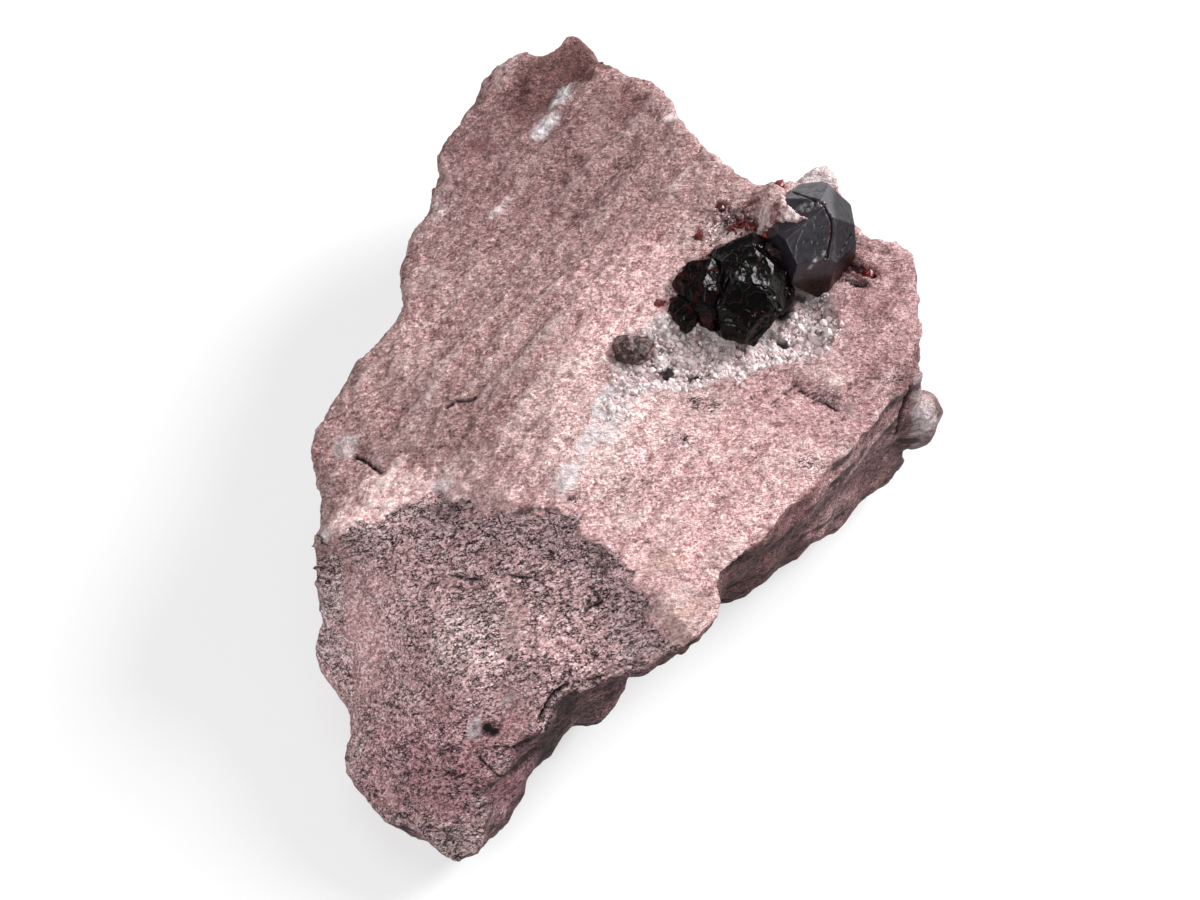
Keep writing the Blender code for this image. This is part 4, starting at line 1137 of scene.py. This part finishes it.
def make_crust(rock, bare, *garnets):
    chance = random.Random(SEED)
    outline = line_on_surface(bare, CRUST_PIXELS)
    holes = [(on_surface(bare, pixel), long) for pixel, long, *_ in HOLES]
    thin = [(on_surface(bare, pixel), reach) for pixel, reach in CRUST_THIN]
    big, big_reach = on_surface(bare, QUARTZ_BIG[0]), QUARTZ_BIG[1]
    xs, ys = [p.x for p in outline], [p.y for p in outline]
    bodies, placed = Bodies(), np.empty((0, 3))
    for size, (tries, smallest, largest) in enumerate(QUARTZ_SIZES):
        for _ in range(tries):
            x = chance.uniform(min(xs) - 2.5, max(xs) + 1.0)
            y = chance.uniform(min(ys) - 2.5, max(ys) + 1.0)
            radius, way, lump = chance.uniform(smallest, largest), leaning(chance, 0.55), chance.random()
            if size == 0 and math.hypot(x - big.x, y - big.y) > big_reach:
                continue
            if not inside_outline(np.array(((x, y, 0.0),)), outline)[0]:
                if all(math.hypot(x - p.x, y - p.y) > reach * lump for p, reach in thin):
                    continue
            near = np.hypot(placed[:, 0] - x, placed[:, 1] - y) < QUARTZ_SPACING * (placed[:, 2] + radius)
            if near.any() or any(
                math.hypot(x - hole.x, y - hole.y) < 0.5 * long + 0.5 * radius for hole, long in holes
            ):
                continue
            ground = highest(rock, x, y)
            if any((highest(garnet, x, y) or 0.0) > ground + 0.8 for garnet in garnets):
                continue
            placed = np.vstack((placed, (x, y, radius)))
            halves = [radius * chance.uniform(0.7, 1.1) for _ in range(3)]
            corners = crystal_corners(chance, radius) if lump < 0.5 else shard_corners(chance, halves, 16)
            hull(bodies, (x, y, ground - 0.05 * radius), corners, way, chance.random())
    print("quartz crystals", len(placed))
    add_mesh("quartz-crystals", bodies.mesh("quartz-crystals", smooth=False), quartz(), "quartz", "quartz_crust")


# ---------------------------------------------------------------- stage


def add_stage():
    bm = bmesh.new()
    bmesh.ops.create_grid(bm, x_segments=1, y_segments=1, size=3.0)
    floor = bpy.data.objects.new("floor", to_mesh(bm, "floor"))
    bpy.context.scene.collection.objects.link(floor)
    g = Graph("floor", 0.9)
    g.shader.inputs["Emission Color"].default_value = (1.0, 1.0, 1.0, 1.0)
    g.shader.inputs["Emission Strength"].default_value = FLOOR_GLOW
    floor.data.materials.append(g.finish(FLOOR_COLOUR))


def add_lights():
    for name, (way, distance, size, power) in SOFTBOXES.items():
        data = bpy.data.lights.new(name, "AREA")
        data.shape, data.size, data.energy = "DISK", size * MM, power
        light = bpy.data.objects.new(name, data)
        bpy.context.scene.collection.objects.link(light)
        way = Vector(way).normalized()
        light.location = way * distance * MM
        light.rotation_euler = way.to_track_quat("Z", "Y").to_euler()
    world = bpy.data.worlds.new("studio")
    world.use_nodes = True
    nodes, links = world.node_tree.nodes, world.node_tree.links
    lighting = nodes["Background"]
    lighting.inputs["Color"].default_value = (*WORLD_LIGHT, 1.0)
    seen = nodes.new("ShaderNodeBackground")
    seen.inputs["Color"].default_value = (*WORLD_SEEN, 1.0)
    rays, mix = nodes.new("ShaderNodeLightPath"), nodes.new("ShaderNodeMixShader")
    links.new(rays.outputs["Is Camera Ray"], mix.inputs["Fac"])
    links.new(lighting.outputs["Background"], mix.inputs[1])
    links.new(seen.outputs["Background"], mix.inputs[2])
    links.new(mix.outputs["Shader"], nodes["World Output"].inputs["Surface"])
    bpy.context.scene.world = world
    bpy.context.scene.view_settings.view_transform = "Standard"


def main():
    add_camera()
    large, black = make_large_garnet(), make_black_garnet()
    rock, bare, stone = make_rock()
    cover_large_garnet(large, bare, stone)
    red = red_garnet()
    make_small_garnets(rock, red)
    make_red_chips(rock, large, black, red)
    make_crust(rock, bare, large, black)
    add_stage()
    add_lights()


main()
